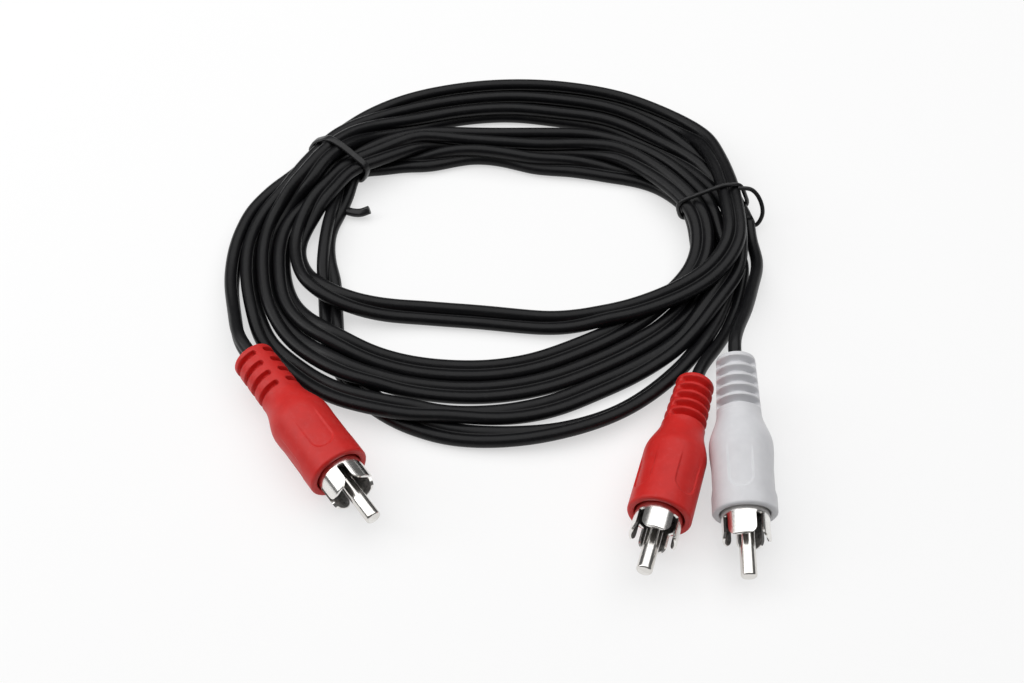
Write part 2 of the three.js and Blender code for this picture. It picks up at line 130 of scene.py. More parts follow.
def on_plug(plug, points):
    """Points of a plug's own frame, turned and moved to where the plug lies."""
    return np.asarray(points, float) @ plug["axes"] + plug["at"]


def along(plug, *stations):
    """Points on a plug's axis."""
    return on_plug(plug, [(0, 0, s) for s in stations])


print("plugs", ", ".join(PLUGS))

# %% [markdown]
# ## The lanes of the coil
# The twin lead is limp, and twice as wide as it is thick. In the coil it lies flat at the front and stands
# on edge at the back and the sides, and the ties gather its turns up to three high. A helix with some noise
# would make a coil as well, but not this one: the turns cross and part where they do in the photo, and the
# eye notices when they don't. So each turn has a lane of its own, as on a running track.
#
# For each angle about the coil's middle there is one lane a turn, in the order in which the lead passes:
# the radius at which it is seen on a level 2.7 mm up, the height of its middle, and the degrees by which the
# flat twin rolls up on edge. There are five and a half turns, clockwise from the left plug. The ties are at
# 146 and 12 degrees.

# %% Lanes of the coil
COIL_MIDDLE = np.array([-4.0, 26.0])
SEEN_LEVEL = 2.7
LANES = {
    180: [(58.6, 2.9, 85), (45.1, 3.0, 70), (48.8, 2.9, 68),
          (39.0, 2.9, 80), (52.4, 2.9, 68), (56.0, 2.9, 70)],
    171: [(56.3, 2.9, 80), (44.2, 3.6, 48), (48.1, 2.9, 66),
          (39.3, 2.9, 80), (51.5, 2.9, 66), (54.4, 3.0, 66)],
    163: [(53.8, 2.9, 65), (43.3, 4.8, 22), (46.8, 3.4, 70),
          (39.5, 2.7, 55), (49.3, 5.0, 50), (51.9, 3.9, 45)],
    155: [(51.1, 3.0, 35), (42.7, 5.6, 10), (46.5, 4.2, 82),
          (40.0, 2.8, 20), (48.8, 7.6, 15), (51.2, 5.3, 20)],
    146: [(51.0, 3.0, 0), (42.6, 5.8, 0), (46.8, 4.4, 90),
          (41.8, 3.0, 0), (49.6, 8.6, 0), (51.4, 5.8, 0)],
    137: [(50.8, 2.9, 35), (40.1, 5.6, 8), (43.9, 4.2, 75),
          (37.4, 1.6, 5), (48.4, 7.0, 30), (51.2, 5.0, 30)],
    128: [(51.1, 2.9, 60), (37.9, 4.8, 22), (41.5, 3.4, 70),
          (34.2, 1.6, 12), (46.4, 4.6, 60), (49.6, 3.6, 60)],
    118: [(51.3, 2.9, 75), (35.7, 3.7, 55), (39.0, 3.0, 70),
          (31.8, 2.3, 50), (44.0, 3.1, 75), (48.0, 3.0, 75)],
    100: [(51.2, 2.9, 85), (32.6, 2.9, 85), (35.0, 2.9, 85),
          (29.6, 2.9, 85), (43.0, 2.9, 85), (47.0, 2.9, 85)],
    85: [(52.0, 2.9, 85), (31.6, 2.9, 85), (34.6, 2.9, 85),
         (28.0, 2.9, 85), (43.4, 2.9, 85), (47.6, 2.9, 85)],
    70: [(53.9, 2.9, 80), (32.4, 2.9, 75), (36.6, 2.9, 75),
         (27.6, 2.8, 65), (44.4, 2.9, 80), (49.0, 2.9, 80)],
    55: [(56.8, 2.9, 75), (36.4, 2.8, 65), (41.0, 2.8, 65),
         (31.0, 2.6, 40), (47.7, 2.9, 75), (52.0, 2.9, 75)],
    40: [(59.0, 3.2, 65), (41.2, 3.6, 45), (45.3, 2.8, 60),
         (36.6, 1.8, 15), (50.3, 2.9, 70), (54.4, 2.9, 70)],
    25: [(58.5, 6.0, 30), (45.8, 5.3, 12), (49.6, 3.4, 75),
         (44.2, 1.7, 5), (54.6, 5.2, 30), (56.6, 2.8, 40)],
    12: [(57.0, 8.6, 0), (48.4, 5.8, 0), (52.4, 4.4, 90),
         (48.0, 3.0, 0), (56.6, 5.8, 0), (57.8, 3.0, 0)],
    2: [(55.4, 8.7, 0), (48.2, 5.2, 0), (52.4, 3.6, 75), (47.9, 2.6, 0), (55.6, 5.7, 0)],
    -8: [(50.8, 7.7, -5), (46.8, 4.0, 0), (53.2, 2.0, 35), (48.2, 1.7, 0), (54.6, 4.8, 0)],
    -16: [(45.8, 6.4, -10), (44.6, 2.9, 0), (53.6, 1.5, 10), (47.4, 1.5, 0), (52.4, 4.2, 0)],
    -24: [(40.9, 4.9, -15), (42.2, 1.8, 0), (53.5, 1.6, 20), (46.2, 1.5, 5), (50.9, 3.0, 0)],
    -34: [(36.0, 3.6, -25), (39.6, 1.4, 0), (53.7, 2.2, 45), (44.1, 1.5, 5), (49.8, 1.8, 5)],
    -46: [(31.2, 2.4, -33), (36.8, 1.4, 0), (53.6, 2.5, 50), (41.9, 1.4, 0), (47.6, 1.5, 5)],
    -60: [(26.8, 2.3, -35), (35.2, 1.4, 0), (53.7, 2.5, 50), (40.8, 1.4, 0), (46.1, 1.4, 0)],
    -75: [(23.3, 2.3, -35), (35.2, 1.4, 0), (53.2, 2.2, 40), (40.8, 1.4, 0), (46.9, 1.4, 0)],
    -90: [(21.7, 2.3, -35), (35.9, 1.4, 0), (52.6, 1.6, 15), (41.5, 1.4, 0), (48.2, 1.4, 0)],
    -105: [(21.8, 2.3, -33), (37.3, 1.4, 0), (52.0, 1.4, 0), (42.9, 1.5, 0), (50.0, 2.0, 0)],
    -118: [(23.3, 2.4, -33), (39.4, 1.5, 0), (50.8, 1.4, 0), (45.0, 2.2, 0), (51.3, 4.0, 0)],
    -130: [(26.1, 2.6, -32), (41.8, 2.8, 0), (48.4, 1.4, 0), (47.4, 4.2, 0), (53.9, 3.6, 0)],
    -140: [(30.2, 3.1, -22), (44.0, 4.2, 0), (45.6, 1.4, 0), (49.3, 3.8, 0), (55.6, 2.2, 10)],
    -150: [(35.2, 4.3, -2), (47.0, 3.8, 15), (41.9, 1.4, 0), (51.6, 2.8, 25), (57.0, 2.4, 35)],
    -160: [(40.2, 4.3, 25), (48.8, 2.9, 45), (39.8, 1.7, 20), (52.6, 2.8, 55), (56.6, 2.8, 60)],
    -170: [(43.8, 3.3, 58), (48.9, 2.9, 66), (39.1, 2.6, 60), (52.6, 2.9, 68), (56.4, 2.9, 68)],
}
LEAD_IN = [(199, 61.0, 3.9, 90), (190, 60.2, 3.0, 88)]
print(len(LANES), "angles and at most", max(len(lanes) for lanes in LANES.values()), "lanes")

# %% [markdown]
# ## From lanes to points in space
# A photo tells in which direction a point is seen, not how high it lies. So each radius is read on one
# level, and `lane_point` slides the point along the camera's sight line to the height that the turn really
# has. A height can then be changed without moving anything in the picture.

# %% Points on the sight lines
def lane_point(angle, radius, height):
    """The point at that height on the sight line through the angle and radius on the seen level."""
    turn = math.radians(angle)
    x, y = COIL_MIDDLE + radius * np.array([math.cos(turn), math.sin(turn)])
    level = np.array([x, y, SEEN_LEVEL])
    return CAMERA_AT + (level - CAMERA_AT) * (CAMERA_AT[2] - height) / (CAMERA_AT[2] - SEEN_LEVEL)


print("the back of the first turn is at", lane_point(85, *LANES[85][0][:2]).round(1))

# %% [markdown]
# ## A smooth line through chosen points
# Blender's curves could carry the lead, but the cores are laid as ropes later, which needs plain points at
# even steps. `through` is a cubic spline: at each chosen point the line leans as its two neighbours suggest,
# weighed by their distances, so points that are unevenly spaced make no bulges. Further columns of a row,
# such as the roll, are carried along in the same way.

# %% Smooth lines
def through(points, step):
    """A smooth line through rows of points, cut to even steps along its length."""
    points = np.asarray(points, float)
    knots = np.r_[0, np.cumsum(np.linalg.norm(np.diff(points[:, :3], axis=0), axis=1))]
    gaps = np.diff(knots)[:, None]
    slopes = np.diff(points, axis=0) / gaps
    lean = np.empty_like(points)
    lean[1:-1] = (slopes[:-1] * gaps[1:] + slopes[1:] * gaps[:-1]) / (gaps[:-1] + gaps[1:])
    lean[0], lean[-1] = slopes[0], slopes[-1]
    fine = np.linspace(0, knots[-1], 12 * len(points))
    i = np.clip(np.searchsorted(knots, fine) - 1, 0, len(gaps) - 1)
    t = ((fine - knots[i]) / gaps[i, 0])[:, None]
    g = gaps[i]
    line = ((2 * t**3 - 3 * t**2 + 1) * points[i] + (t**3 - 2 * t**2 + t) * g * lean[i]
            + (3 * t**2 - 2 * t**3) * points[i + 1] + (t**3 - t**2) * g * lean[i + 1])
    run = np.r_[0, np.cumsum(np.linalg.norm(np.diff(line[:, :3], axis=0), axis=1))]
    even = np.linspace(0, run[-1], int(round(run[-1] / step)) + 1)
    return np.stack([np.interp(even, run, line[:, k]) for k in range(line.shape[1])], 1)


STEP = 1.4
print("lines are cut to steps of", STEP, "mm")

# %% [markdown]
# ## The course of the twin lead
# The course starts inside the left plug, where the jacket ends. It leaves the boot straight, goes through
# the lanes turn by turn, and stops at the split, where the twin has been pulled apart into two cores.

# %% Course
STRAIGHT = 4.0
SPLIT_ANGLE, SPLIT_RADIUS, SPLIT_HEIGHT = 6.5, 58.3, 2.9
rows = [(*p, 90) for p in along(PLUGS["left_red"], JACKET_END, JACKET_END / 2, 0, -STRAIGHT)]
rows += [(*lane_point(a, r, z), roll) for a, r, z, roll in LEAD_IN]
for turn in range(6):
    for angle, lanes in LANES.items():
        if turn < len(lanes):
            radius, height, roll = lanes[turn]
            rows.append((*lane_point(angle, radius, height), roll))
rows.append((*lane_point(SPLIT_ANGLE, SPLIT_RADIUS, SPLIT_HEIGHT), 0))
course = through(rows, STEP)
print(len(rows), "points chosen,", len(course), "along the course")

# %% [markdown]
# ## Easing the kinks
# Radii that are read off leave small kinks, and PVC shows none. Averaging each point with its neighbours
# would take them out, but it draws every turn in towards the middle. So each small step in is followed by a
# slightly larger one out, which leaves the wide bends alone and flattens only the short ones.

# %% Eased course
def eased(line, passes=24):
    line = line.copy()
    for _ in range(passes):
        for step_share in (0.5, -0.52):
            line[1:-1] += step_share * (0.5 * (line[:-2] + line[2:]) - line[1:-1])
    return line


EASED_FROM = 30
start = int(EASED_FROM / STEP)
rough = course[start:].copy()
course[start:] = eased(rough)
print("largest move", round(float(np.abs(course[start:, :3] - rough[:, :3]).max()), 2), "mm")

# %% [markdown]
# ## The two cores
# The twin is two round cores joined by a thin web. Each core is a line of its own, half a core's width from
# the middle of the course. The roll says how they stand: side by side on the floor at 0 degrees, and one
# above the other at 90.

# %% Cores of the twin
middle, roll = course[:, :3], np.radians(course[:, 3])
tangent = unit(np.gradient(middle, axis=0))
level_side = unit(np.cross(tangent, [0, 0, 1.0]))
outward = middle[:, :2] - COIL_MIDDLE
level_side *= np.sign((level_side[:, :2] * outward).sum(1))[:, None]
upward = unit(np.cross(level_side, tangent))
upward *= np.sign(upward[:, 2])[:, None]
offset = level_side * np.cos(roll)[:, None] + upward * np.sin(roll)[:, None]
outer_core, inner_core = middle + HALF * offset, middle - HALF * offset
print("cores of", len(middle), "points each")

# %% [markdown]
# ## The single leads
# Past the split each core goes on alone. The leads are short, so a few points read from the photo are
# enough for each: they start on the floor and rise to the height of the plug. The last points lie on the
# axis of the boot, because a lead runs straight into it.

# %% Single leads up to their plugs
RED_LEAD = [(51.4, 28.7, 1.5), (52.2, 21.1, 1.7), (49.9, 13, 1.8), (46.6, 4.5, 2.1), (43.3, -3.5, 3.4)]
WHITE_LEAD = [(55.3, 28.9, 2.4), (55.8, 19.7, 3.3), (53.6, 11.2, 5.5), (50.6, 1.6, 8.4), (48.2, -4.4, 10.2)]


def single_lead(start, points, plug):
    """From the split through the chosen points and down the boot's axis."""
    inside = along(plug, -STRAIGHT, 0, JACKET_END / 2, JACKET_END)
    return through([tuple(start), *points, *map(tuple, inside)], STEP)[1:]


red_lead = single_lead(inner_core[-1], RED_LEAD, PLUGS["right_red"])
white_lead = single_lead(outer_core[-1], WHITE_LEAD, PLUGS["right_white"])
print("single leads", len(red_lead), "and", len(white_lead), "points")

# %% [markdown]
# ## Laying the lead as a rope
# Chosen lanes can't keep five and a half turns from cutting through each other. The cloth or rigid body
# solvers could settle them, but those need baking, and their result is hard to keep close to the photo. So a
# short relaxation does it. Each round makes a few small moves: the points are drawn towards their chosen
# places, a core resists bending and keeps its length, the cores of the twin stay side by side, cores that
# come closer than their own width are pushed apart, and none sinks into a boot or the floor.
#
# The next two cells hold one short helper for each of these moves. In all of them `x` holds the points and
# `free` is 0 for those that are held fast in a boot.

# %% How a core keeps its own shape
def bend_of(points, triples):
    """How far each middle point lies off the straight line between its two neighbours."""
    before, here, after = triples.T
    return 0.5 * (points[before] + points[after]) - points[here]


def hold_side_by_side(x, free, count):
    """Keeps the twin's two cores one core's width apart."""
    gap = x[:count] - x[count:2 * count]
    wide = np.linalg.norm(gap, axis=1, keepdims=True)
    fix = 0.5 * (wide - CORE) * gap / wide
    x[:count] -= fix * free[:count]
    x[count:2 * count] += fix * free[count:2 * count]


def hold_length(x, free, links, spans):
    """Draws the two ends of each link towards the distance that they had at first."""
    gap = x[links[:, 0]] - x[links[:, 1]]
    wide = np.linalg.norm(gap, axis=1)
    fix = (0.25 * (wide - spans) / wide)[:, None] * gap
    np.add.at(x, links[:, 0], -fix * free[links[:, 0]])
    np.add.at(x, links[:, 1], fix * free[links[:, 1]])


print("helpers for bending, pairing and length")

# %% [markdown]
# ## What a core may not pass through
# Testing all points against all others in each round would be slow. So pairs that come near each other are
# listed now and then, with those left out that are close along the same lead, and only these are tested.
#
# BOOT_AROUND is the outside of a boot as (station, radius) steps. A core on the axis of a boot is its own
# lead and stays there, and one that lies further out is lifted off the boot.

# %% What keeps cores apart
BOOT_AROUND = [(0, 4.5), (13.4, 4.6), (17.5, 6.0), (20.4, 6.5), (35.3, 6.5)]
OWN_LEAD = 1.6
BLOCK = 400


def near_pairs(x, where):
    """Pairs of points that are near each other and not close along the same lead."""
    found = []
    for first in range(0, len(x), BLOCK):
        square = ((x[first:first + BLOCK, None] - x[None]) ** 2).sum(2)
        i, j = np.nonzero(square < (1.9 * CORE) ** 2)
        i = i + first
        apart = (i < j) & (np.abs(where[i] - where[j]) > 2.4 * CORE)
        found.append(np.stack([i[apart], j[apart]], 1))
    return np.concatenate(found)


def push_apart(x, free, pairs):
    """Moves cores apart that are closer than their width, and gives by how much each pair was."""
    gap = x[pairs[:, 0]] - x[pairs[:, 1]]
    wide = np.linalg.norm(gap, axis=1)
    hit = wide < CORE
    push = (0.5 * (CORE - wide[hit]) / np.maximum(wide[hit], 1e-6))[:, None] * gap[hit]
    total, count = np.zeros_like(x), np.zeros(len(x))
    for column, sign in ((0, 1), (1, -1)):
        np.add.at(total, pairs[hit, column], sign * push)
        np.add.at(count, pairs[hit, column], 1)
    x += total / np.maximum(count, 1)[:, None] * 1.6 * free
    return CORE - wide[hit]


def clear_of_boots(x, free):
    """Lifts free points off the boots and the floor."""
    for plug in PLUGS.values():
        local = (x - plug["at"]) @ plug["axes"].T
        radius = np.hypot(local[:, 0], local[:, 1])
        need = np.interp(local[:, 2], *zip(*BOOT_AROUND)) + HALF + 0.1
        beside = (local[:, 2] > -0.5) & (local[:, 2] < BOOT_LENGTH)
        inside = (radius < need) & beside & (radius > OWN_LEAD)
        local[inside, :2] *= (need[inside] / radius[inside])[:, None]
        x = np.where((inside & (free[:, 0] > 0))[:, None], local @ plug["axes"] + plug["at"], x)
    x[:, 2] = np.where(free[:, 0] > 0, np.maximum(x[:, 2], HALF), x[:, 2])
    return x


print("near means closer than", round(1.9 * CORE, 1), "mm")

# %% [markdown]
# ## The rounds
# The twin's two cores and the two single leads go into one list of points, so that they push each other.
# `links` joins neighbours along a core, and at the split it joins the outer core to the white lead and the
# inner core to the red lead. The pull towards the chosen places fades over the last rounds, so the turns
# end up resting beside and on each other. Bends are held to what they were in the chosen course, not to a
# straight line, or the coil would try to open.

# %% Relaxation
def relax(chains, starts, pinned, twin_count, rounds=380, keep=0.03, fade=160):
    """Lays chains of points as ropes. starts are the chains' places along the cable."""
    ends = np.cumsum([0] + [len(c) for c in chains])
    x = np.concatenate(chains)
    home = x.copy()
    where = np.concatenate([s + np.arange(len(c)) * STEP for s, c in zip(starts, chains)])
    free = np.ones((len(x), 1))
    free[pinned] = 0
    links = [np.stack([np.arange(a, b - 1), np.arange(a + 1, b)], 1) for a, b in zip(ends, ends[1:])]
    links += [np.array([[twin_count - 1, ends[3]], [2 * twin_count - 1, ends[2]]])]
    links = np.concatenate(links)
    spans = np.linalg.norm(x[links[:, 0]] - x[links[:, 1]], axis=1)
    following = {int(a): int(b) for a, b in links}
    triples = np.array([(a, b, following[b]) for a, b in following.items() if b in following])
    bend_home = bend_of(home, triples)
    for step in range(rounds):
        if step % 12 == 0:
            pairs = near_pairs(x, where)
        x += keep * min(1, (rounds - step) / fade) * (home - x) * free
        for _ in range(2):
            pull = np.zeros_like(x)
            pull[triples[:, 1]] = 0.3 * (bend_of(x, triples) - bend_home)
            x += pull * free
        hold_side_by_side(x, free, twin_count)
        hold_length(x, free, links, spans)
        depths = push_apart(x, free, pairs)
        x = clear_of_boots(x, free)
    print("pairs still closer than a core:", len(depths), "deepest", round(float(depths.max()), 2))
    return [x[a:b] for a, b in zip(ends, ends[1:])]


count = len(middle)
in_boot = int((JACKET_END + STRAIGHT) / STEP) + 1
total_length = STEP * (count - 1)
pinned = list(range(in_boot)) + list(range(count, count + in_boot))
pinned += [2 * count + len(red_lead) - 1 - i for i in range(in_boot)]
pinned += [2 * count + len(red_lead) + len(white_lead) - 1 - i for i in range(in_boot)]
outer_core, inner_core, red_lead, white_lead = relax(
    [outer_core, inner_core, red_lead, white_lead],
    [0, 0, total_length + STEP, total_length + STEP], pinned, count)
print("twin", round(total_length), "mm")

# %% [markdown]
# ## Skins over rings
# Most surfaces here are tubes: rings of equally many points, joined by four-sided faces. A curve with a
# bevel makes a tube too, but with rings every point has a place of its own, which the slots of the boots
# and the rolling twin need. A lead also gets texture coordinates, once round in u and 10 mm a unit
# along it in v, for the fine lines of its jacket.

# %% A skin
def skin(name, rings, closed_ends=True, uv_scale=None):
    """A tube through rings of equally many points, in millimetres."""
    rings = np.asarray(rings, float)
    n, m = rings.shape[:2]
    points = metres(rings.reshape(-1, 3))
    base = np.arange(n - 1)[:, None] * m
    k = np.arange(m)
    k2 = (k + 1) % m
    quads = np.stack([base + k, base + k2, base + m + k2, base + m + k], 2).reshape(-1, 4)
    faces = quads.tolist()
    if closed_ends:
        faces.append(list(range(m))[::-1])
        faces.append(list(range((n - 1) * m, n * m)))
    mesh = bpy.data.meshes.new(name)
    mesh.from_pydata(points.tolist(), [], faces)
    if uv_scale:
        layer = mesh.uv_layers.new(name="UVMap")
        middles = rings.mean(1)
        run = np.r_[0, np.cumsum(np.linalg.norm(np.diff(middles, axis=0), axis=1))] / uv_scale
        for polygon in mesh.polygons[:(n - 1) * m]:
            for corner in polygon.loop_indices:
                vertex = mesh.loops[corner].vertex_index
                row, column = divmod(vertex, m)
                around = column / m
                if polygon.index % m == m - 1 and column == 0:
                    around = 1.0
                layer.data[corner].uv = (around, run[row])
    mesh.shade_smooth()
    mesh.validate()
    obj = bpy.data.objects.new(name, mesh)
    scene.collection.objects.link(obj)
    work = bmesh.new()
    work.from_mesh(mesh)
    bmesh.ops.recalc_face_normals(work, faces=work.faces)
    work.to_mesh(mesh)
    work.free()
    return obj


LEAD_UV = 10
print("leads have", LEAD_UV, "mm of their length to a unit of v")

# %% [markdown]
# ## The twin lead
# In section the twin is a figure of eight: two round jackets, with a soft groove between them where they
# can be pulled apart. The section is drawn once and set at each point of the relaxed cores, so the twin
# rolls from flat to on edge as they do. A bevelled curve would need a tilt at every point for that.

# %% Twin lead
def smooth_rows(points, passes=2):
    """Takes out the last small steps that the relaxation left."""
    points = points.copy()
    for _ in range(passes):
        points[1:-1] = 0.25 * points[:-2] + 0.5 * points[1:-1] + 0.25 * points[2:]
    return points


def rings_along(line, section, across, rise):
    """section is a list of (x, y) points, set along across and rise at each point of the line."""
    section = np.asarray(section, float)
    return line[:, None] + section[None, :, :1] * across[:, None] + section[None, :, 1:] * rise[:, None]


def figure_eight(groove=0.62):
    """Two arcs that leave the middle open, and a point on each side of it for the groove's bottom."""
    reach, open_by, arc = 0.95 * HALF, math.radians(36), []
    for side in (1, -1):
        for t in np.linspace(math.pi - open_by, -(math.pi - open_by), 15):
            angle = t if side == 1 else t + math.pi
            arc.append((side * reach + HALF * math.cos(angle), HALF * math.sin(angle)))
        arc.append((0, -side * groove))
    return arc


both = through(np.concatenate([smooth_rows(outer_core), smooth_rows(inner_core)], 1), STEP / 1.5)
twin_a, twin_b = both[:, :3], both[:, 3:]
twin_line = 0.5 * (twin_a + twin_b)
twin_forward = unit(np.gradient(twin_line, axis=0))
twin_across = unit(twin_a - twin_b)
twin_across = unit(twin_across - (twin_across * twin_forward).sum(1)[:, None] * twin_forward)
twin_rise = np.cross(twin_forward, twin_across)
twin_rings = rings_along(twin_line, figure_eight(), twin_across, twin_rise)
twin = skin("twin_lead_coiled", twin_rings, uv_scale=LEAD_UV)

# %% [markdown]
# ## Skins of the single leads
# Past the split the jackets are plain round tubes. `carried` takes a side direction along a line with no
# twist of its own, so the fine lines of the jacket don't wind round it. Each lead starts at the end of the
# core that it goes on from, so the groove closes there as it does in a moulded web.

# %% Single leads
def carried(line, start):
    """A side direction carried along a line with no twist of its own."""
    forward = unit(np.gradient(line, axis=0))
    across = np.empty_like(line)
    side = np.asarray(start, float)
    for i, f in enumerate(forward):
        side = unit(side - (side @ f) * f)
        across[i] = side
    return forward, across, np.cross(forward, across)


round_section = [(HALF * math.cos(t), HALF * math.sin(t)) for t in np.linspace(0, 2 * math.pi, 20)[:-1]]
leads = {}
for name, line, start in (("red", red_lead, twin_b[-1]), ("white", white_lead, twin_a[-1])):
    line = through(smooth_rows(np.concatenate([[start], line])), STEP / 3)
    forward, across, rise = carried(line, (0, 0, 1))
    lead = skin(f"{name}_single_lead", rings_along(line, round_section, across, rise), uv_scale=LEAD_UV)
    leads[name] = (lead, line, float(np.linalg.norm(np.diff(line, axis=0), axis=1).sum()) / 1000)
    print(name, "lead", round(leads[name][2], 3), "m")

# %% [markdown]
# ## Moulded boots
# A boot is soft PVC, moulded over the inside of the plug and the end of the lead. Its rear is slotted, so
# that it bends with the lead and takes the strain off it, and its thicker front is what the fingers hold.
# Seen along its length it is a profile: a small rounded edge, a slight taper, a shoulder and a straight
# body. Turning a profile round an axis could be done with the Screw modifier, but the slots have to follow
# the same surface, so the rings are worked out here.

# %% Boot profile
def ease(low, high, value):
    """0 below low, 1 above high, and a soft step between."""
    t = np.clip((value - low) / (high - low), 0, 1)
    return t * t * (3 - 2 * t)


def boot_profile(plug):
    """Rows of station, radius and whether slots and panels are pressed in there, from the bore outwards.

    A radius of None stands for the bore, and "mid" for the middle of the rear face."""
    rear, relief, body, edge = plug["rear"] / 2, 4.6, 6.5, 0.55
    relief_end, shoulder_start, shoulder_length, shoulder_end = 13.4, 13.0, 7.6, 20.8
    rows = [(8.0, None, 0), (4.0, None, 0), (0.25, None, 0), (0.0, None, 0)]
    rows += [(0.0, "mid", 0)]
    for t in np.linspace(0, math.pi / 2, 7):
        rows.append((edge * (1 - math.cos(t)), rear - edge + edge * math.sin(t), 0))
    for s in np.arange(0.62, relief_end, 0.075):
        rows.append((s, rear + (relief - rear) * s / relief_end, 1))
    for s in np.linspace(relief_end, shoulder_end, 80):
        blend = float(ease(0, 1, (s - shoulder_start) / shoulder_length))
        rows.append((s, relief + (body - relief) * blend, 1))
    for s in np.arange(21.0, BOOT_LENGTH - edge, 0.14):
        rows.append((s, body, 1))
    for t in np.linspace(0, math.pi / 2, 8):
        rows.append((BOOT_LENGTH - edge + edge * math.sin(t), body - edge + edge * math.cos(t), 0))
    rows += [(BOOT_LENGTH - 0.02, 5.35, 0), (BOOT_LENGTH - 0.15, 5.14, 0), (BOOT_LENGTH - 0.6, 5.1, 0)]
    rows += [(BOOT_LENGTH - 5.5, 5.1, 0)]
    return rows


print("profile of", len(boot_profile(PLUGS["left_red"])), "rings")

# %% [markdown]
# ## The bore
# The lead fills the hole in the rear of the boot. For a single lead it is round. The twin stands on edge
# there, so its hole is a slot with round ends. Both are written as a radius for each angle, which lets one
# set of rings run from the bore to the outside.

# %% Bore of a boot
def bore_radius(plug, angle):
    """The bore's radius by angle: round for a single lead, and an upright slot for the twin."""
    reach = HALF + CLEARANCE
    if plug["cores"] == 1:
        return np.full_like(angle, reach)
    c, s = np.abs(np.cos(angle)), np.abs(np.sin(angle))
    straight = reach / np.maximum(c, 1e-6)
    curved = HALF * s + np.sqrt(np.maximum(reach**2 - (HALF * c) ** 2, 0))
    return np.where(straight * s <= HALF, straight, curved)


print("bore of a single lead", 2 * (HALF + CLEARANCE), "mm across")

# %% [markdown]
# ## Slots and grip panels
# The slots run round each side of the boot's rear, with a rib left between the two sides. On the boots of
# the single leads they are as round as bellows, and on the twin's boot their edges are crisper. Further
# forward, four shallow panels with a round front give a grip and fade out towards the rear.
#
# Booleans and bevels would be the usual way, but soft moulded edges on a tapering surface come out badly
# with them. So a formula says how deep each point is pressed in: it measures how far the point lies from the
# outline of the slot or panel, and a soft step on that distance makes the rounded edge.

# %% Slots and panels
SLOT_REACH = {1: math.radians(82), 2: math.radians(77)}
SLOT_WIDTH = 1.15
SLOTTED_LENGTH, FIRST_SLOT = 9.4, 2.0
PANEL_DEPTH, PANEL_HALF, PANEL_BACK, PANEL_FADE = 0.3, 2.5, 26.5, 5


def press_in(plug, angle, s, surface):
    """How deep the boot's surface lies below its plain round form at each angle of station s."""
    local = angle - math.radians(plug["boot_turn"])
    depth = np.zeros_like(angle)
    soft = 0.16 if plug["cores"] == 2 else 0.42
    for side in (0, math.pi):
        off = (local - math.radians(plug["slot_turn"]) - side + math.pi) % (2 * math.pi) - math.pi
        arc = np.maximum(np.abs(off) - SLOT_REACH[plug["cores"]] + SLOT_WIDTH / 2 / surface, 0) * surface
        for k in range(plug["slots"]):
            centre = FIRST_SLOT + SLOTTED_LENGTH * k / (plug["slots"] - 1)
            away = np.hypot(arc, s - centre) - SLOT_WIDTH / 2
            share = 1 - ease(-soft, soft, away)
            depth = np.maximum(depth, share * (surface - plug["slot_floor"]))
    front = BOOT_LENGTH - 3.6
    for side in range(4):
        off = (local - side * math.pi / 2 + math.pi) % (2 * math.pi) - math.pi
        across = np.abs(off) * surface
        ahead = np.maximum(s - (front - PANEL_HALF), 0)
        inside = np.hypot(across, ahead) - PANEL_HALF
        fade = 1 - ease(0, PANEL_FADE, np.maximum(PANEL_BACK - s, 0))
        share = (1 - ease(-0.14, 0.14, inside)) * fade
        depth = np.maximum(depth, share * PANEL_DEPTH)
    return depth


print("slots", {name: plug["slots"] for name, plug in PLUGS.items()})

# %% [markdown]
# ## The three boots
# Each ring of the profile is taken round the axis, pressed in where slots and panels are, and the rings are
# joined into one skin. The boots differ in the size of their rear, their bore and their slots, all of
# which come from the plug's own values.

# %% Boots
def make_boot(name, plug, steps=288):
    angle = np.linspace(0, 2 * math.pi, steps, endpoint=False)
    profile = boot_profile(plug)
    bore = bore_radius(plug, angle)
    rear = plug["rear"] / 2
    rings = []
    for s, radius, pressed in profile:
        if radius is None:
            r = bore
        elif radius == "mid":
            r = 0.5 * (bore + rear - 0.8)
        else:
            r = np.full_like(angle, radius)
        if pressed:
            r = r - press_in(plug, angle, s, r)
        rings.append(np.stack([r * np.cos(angle), r * np.sin(angle), np.full_like(angle, s)], 1))
    return skin(name, on_plug(plug, np.array(rings)), closed_ends=False)


boots = {name: make_boot(f"{name}_soft_boot", plug) for name, plug in PLUGS.items()}
print("boots", [len(b.data.polygons) for b in boots.values()])

# %% [markdown]
# ## Turned pieces
# A phono plug has a collar that grips the outside of the socket, a centre pin, and an insulator that holds
# the pin in the middle of the collar. All three are round about the plug's axis, so each is a short
# profile of (radius, station) points, turned. A closed profile gives a ring with a hole through it, and an
# open one that starts and ends on the axis gives a solid pin.

# %% Turning
COLLAR_R, COLLAR_WALL, PROJECTION, SEAT = 4.8, 0.55, 5.6, 6.0
REAR, FRONT = BOOT_LENGTH - SEAT, BOOT_LENGTH + PROJECTION


def turned(name, plug, profile, steps=96, closed=True):
    """A profile taken round the plug's axis, with the points on the axis joined into one."""
    angle = np.linspace(0, 2 * math.pi, steps, endpoint=False)
    rings = [np.stack([r * np.cos(angle), r * np.sin(angle), np.full_like(angle, s)], 1) for r, s in profile]
    if closed:
        rings.append(rings[0])
    obj = skin(name, on_plug(plug, np.array(rings)), closed_ends=False)
    work = bmesh.new()
    work.from_mesh(obj.data)
    bmesh.ops.remove_doubles(work, verts=work.verts, dist=1e-6)
    bmesh.ops.recalc_face_normals(work, faces=work.faces)
    work.to_mesh(obj.data)
    work.free()
    return obj


print("collars stand out", PROJECTION, "mm, stations", REAR, "to", FRONT)
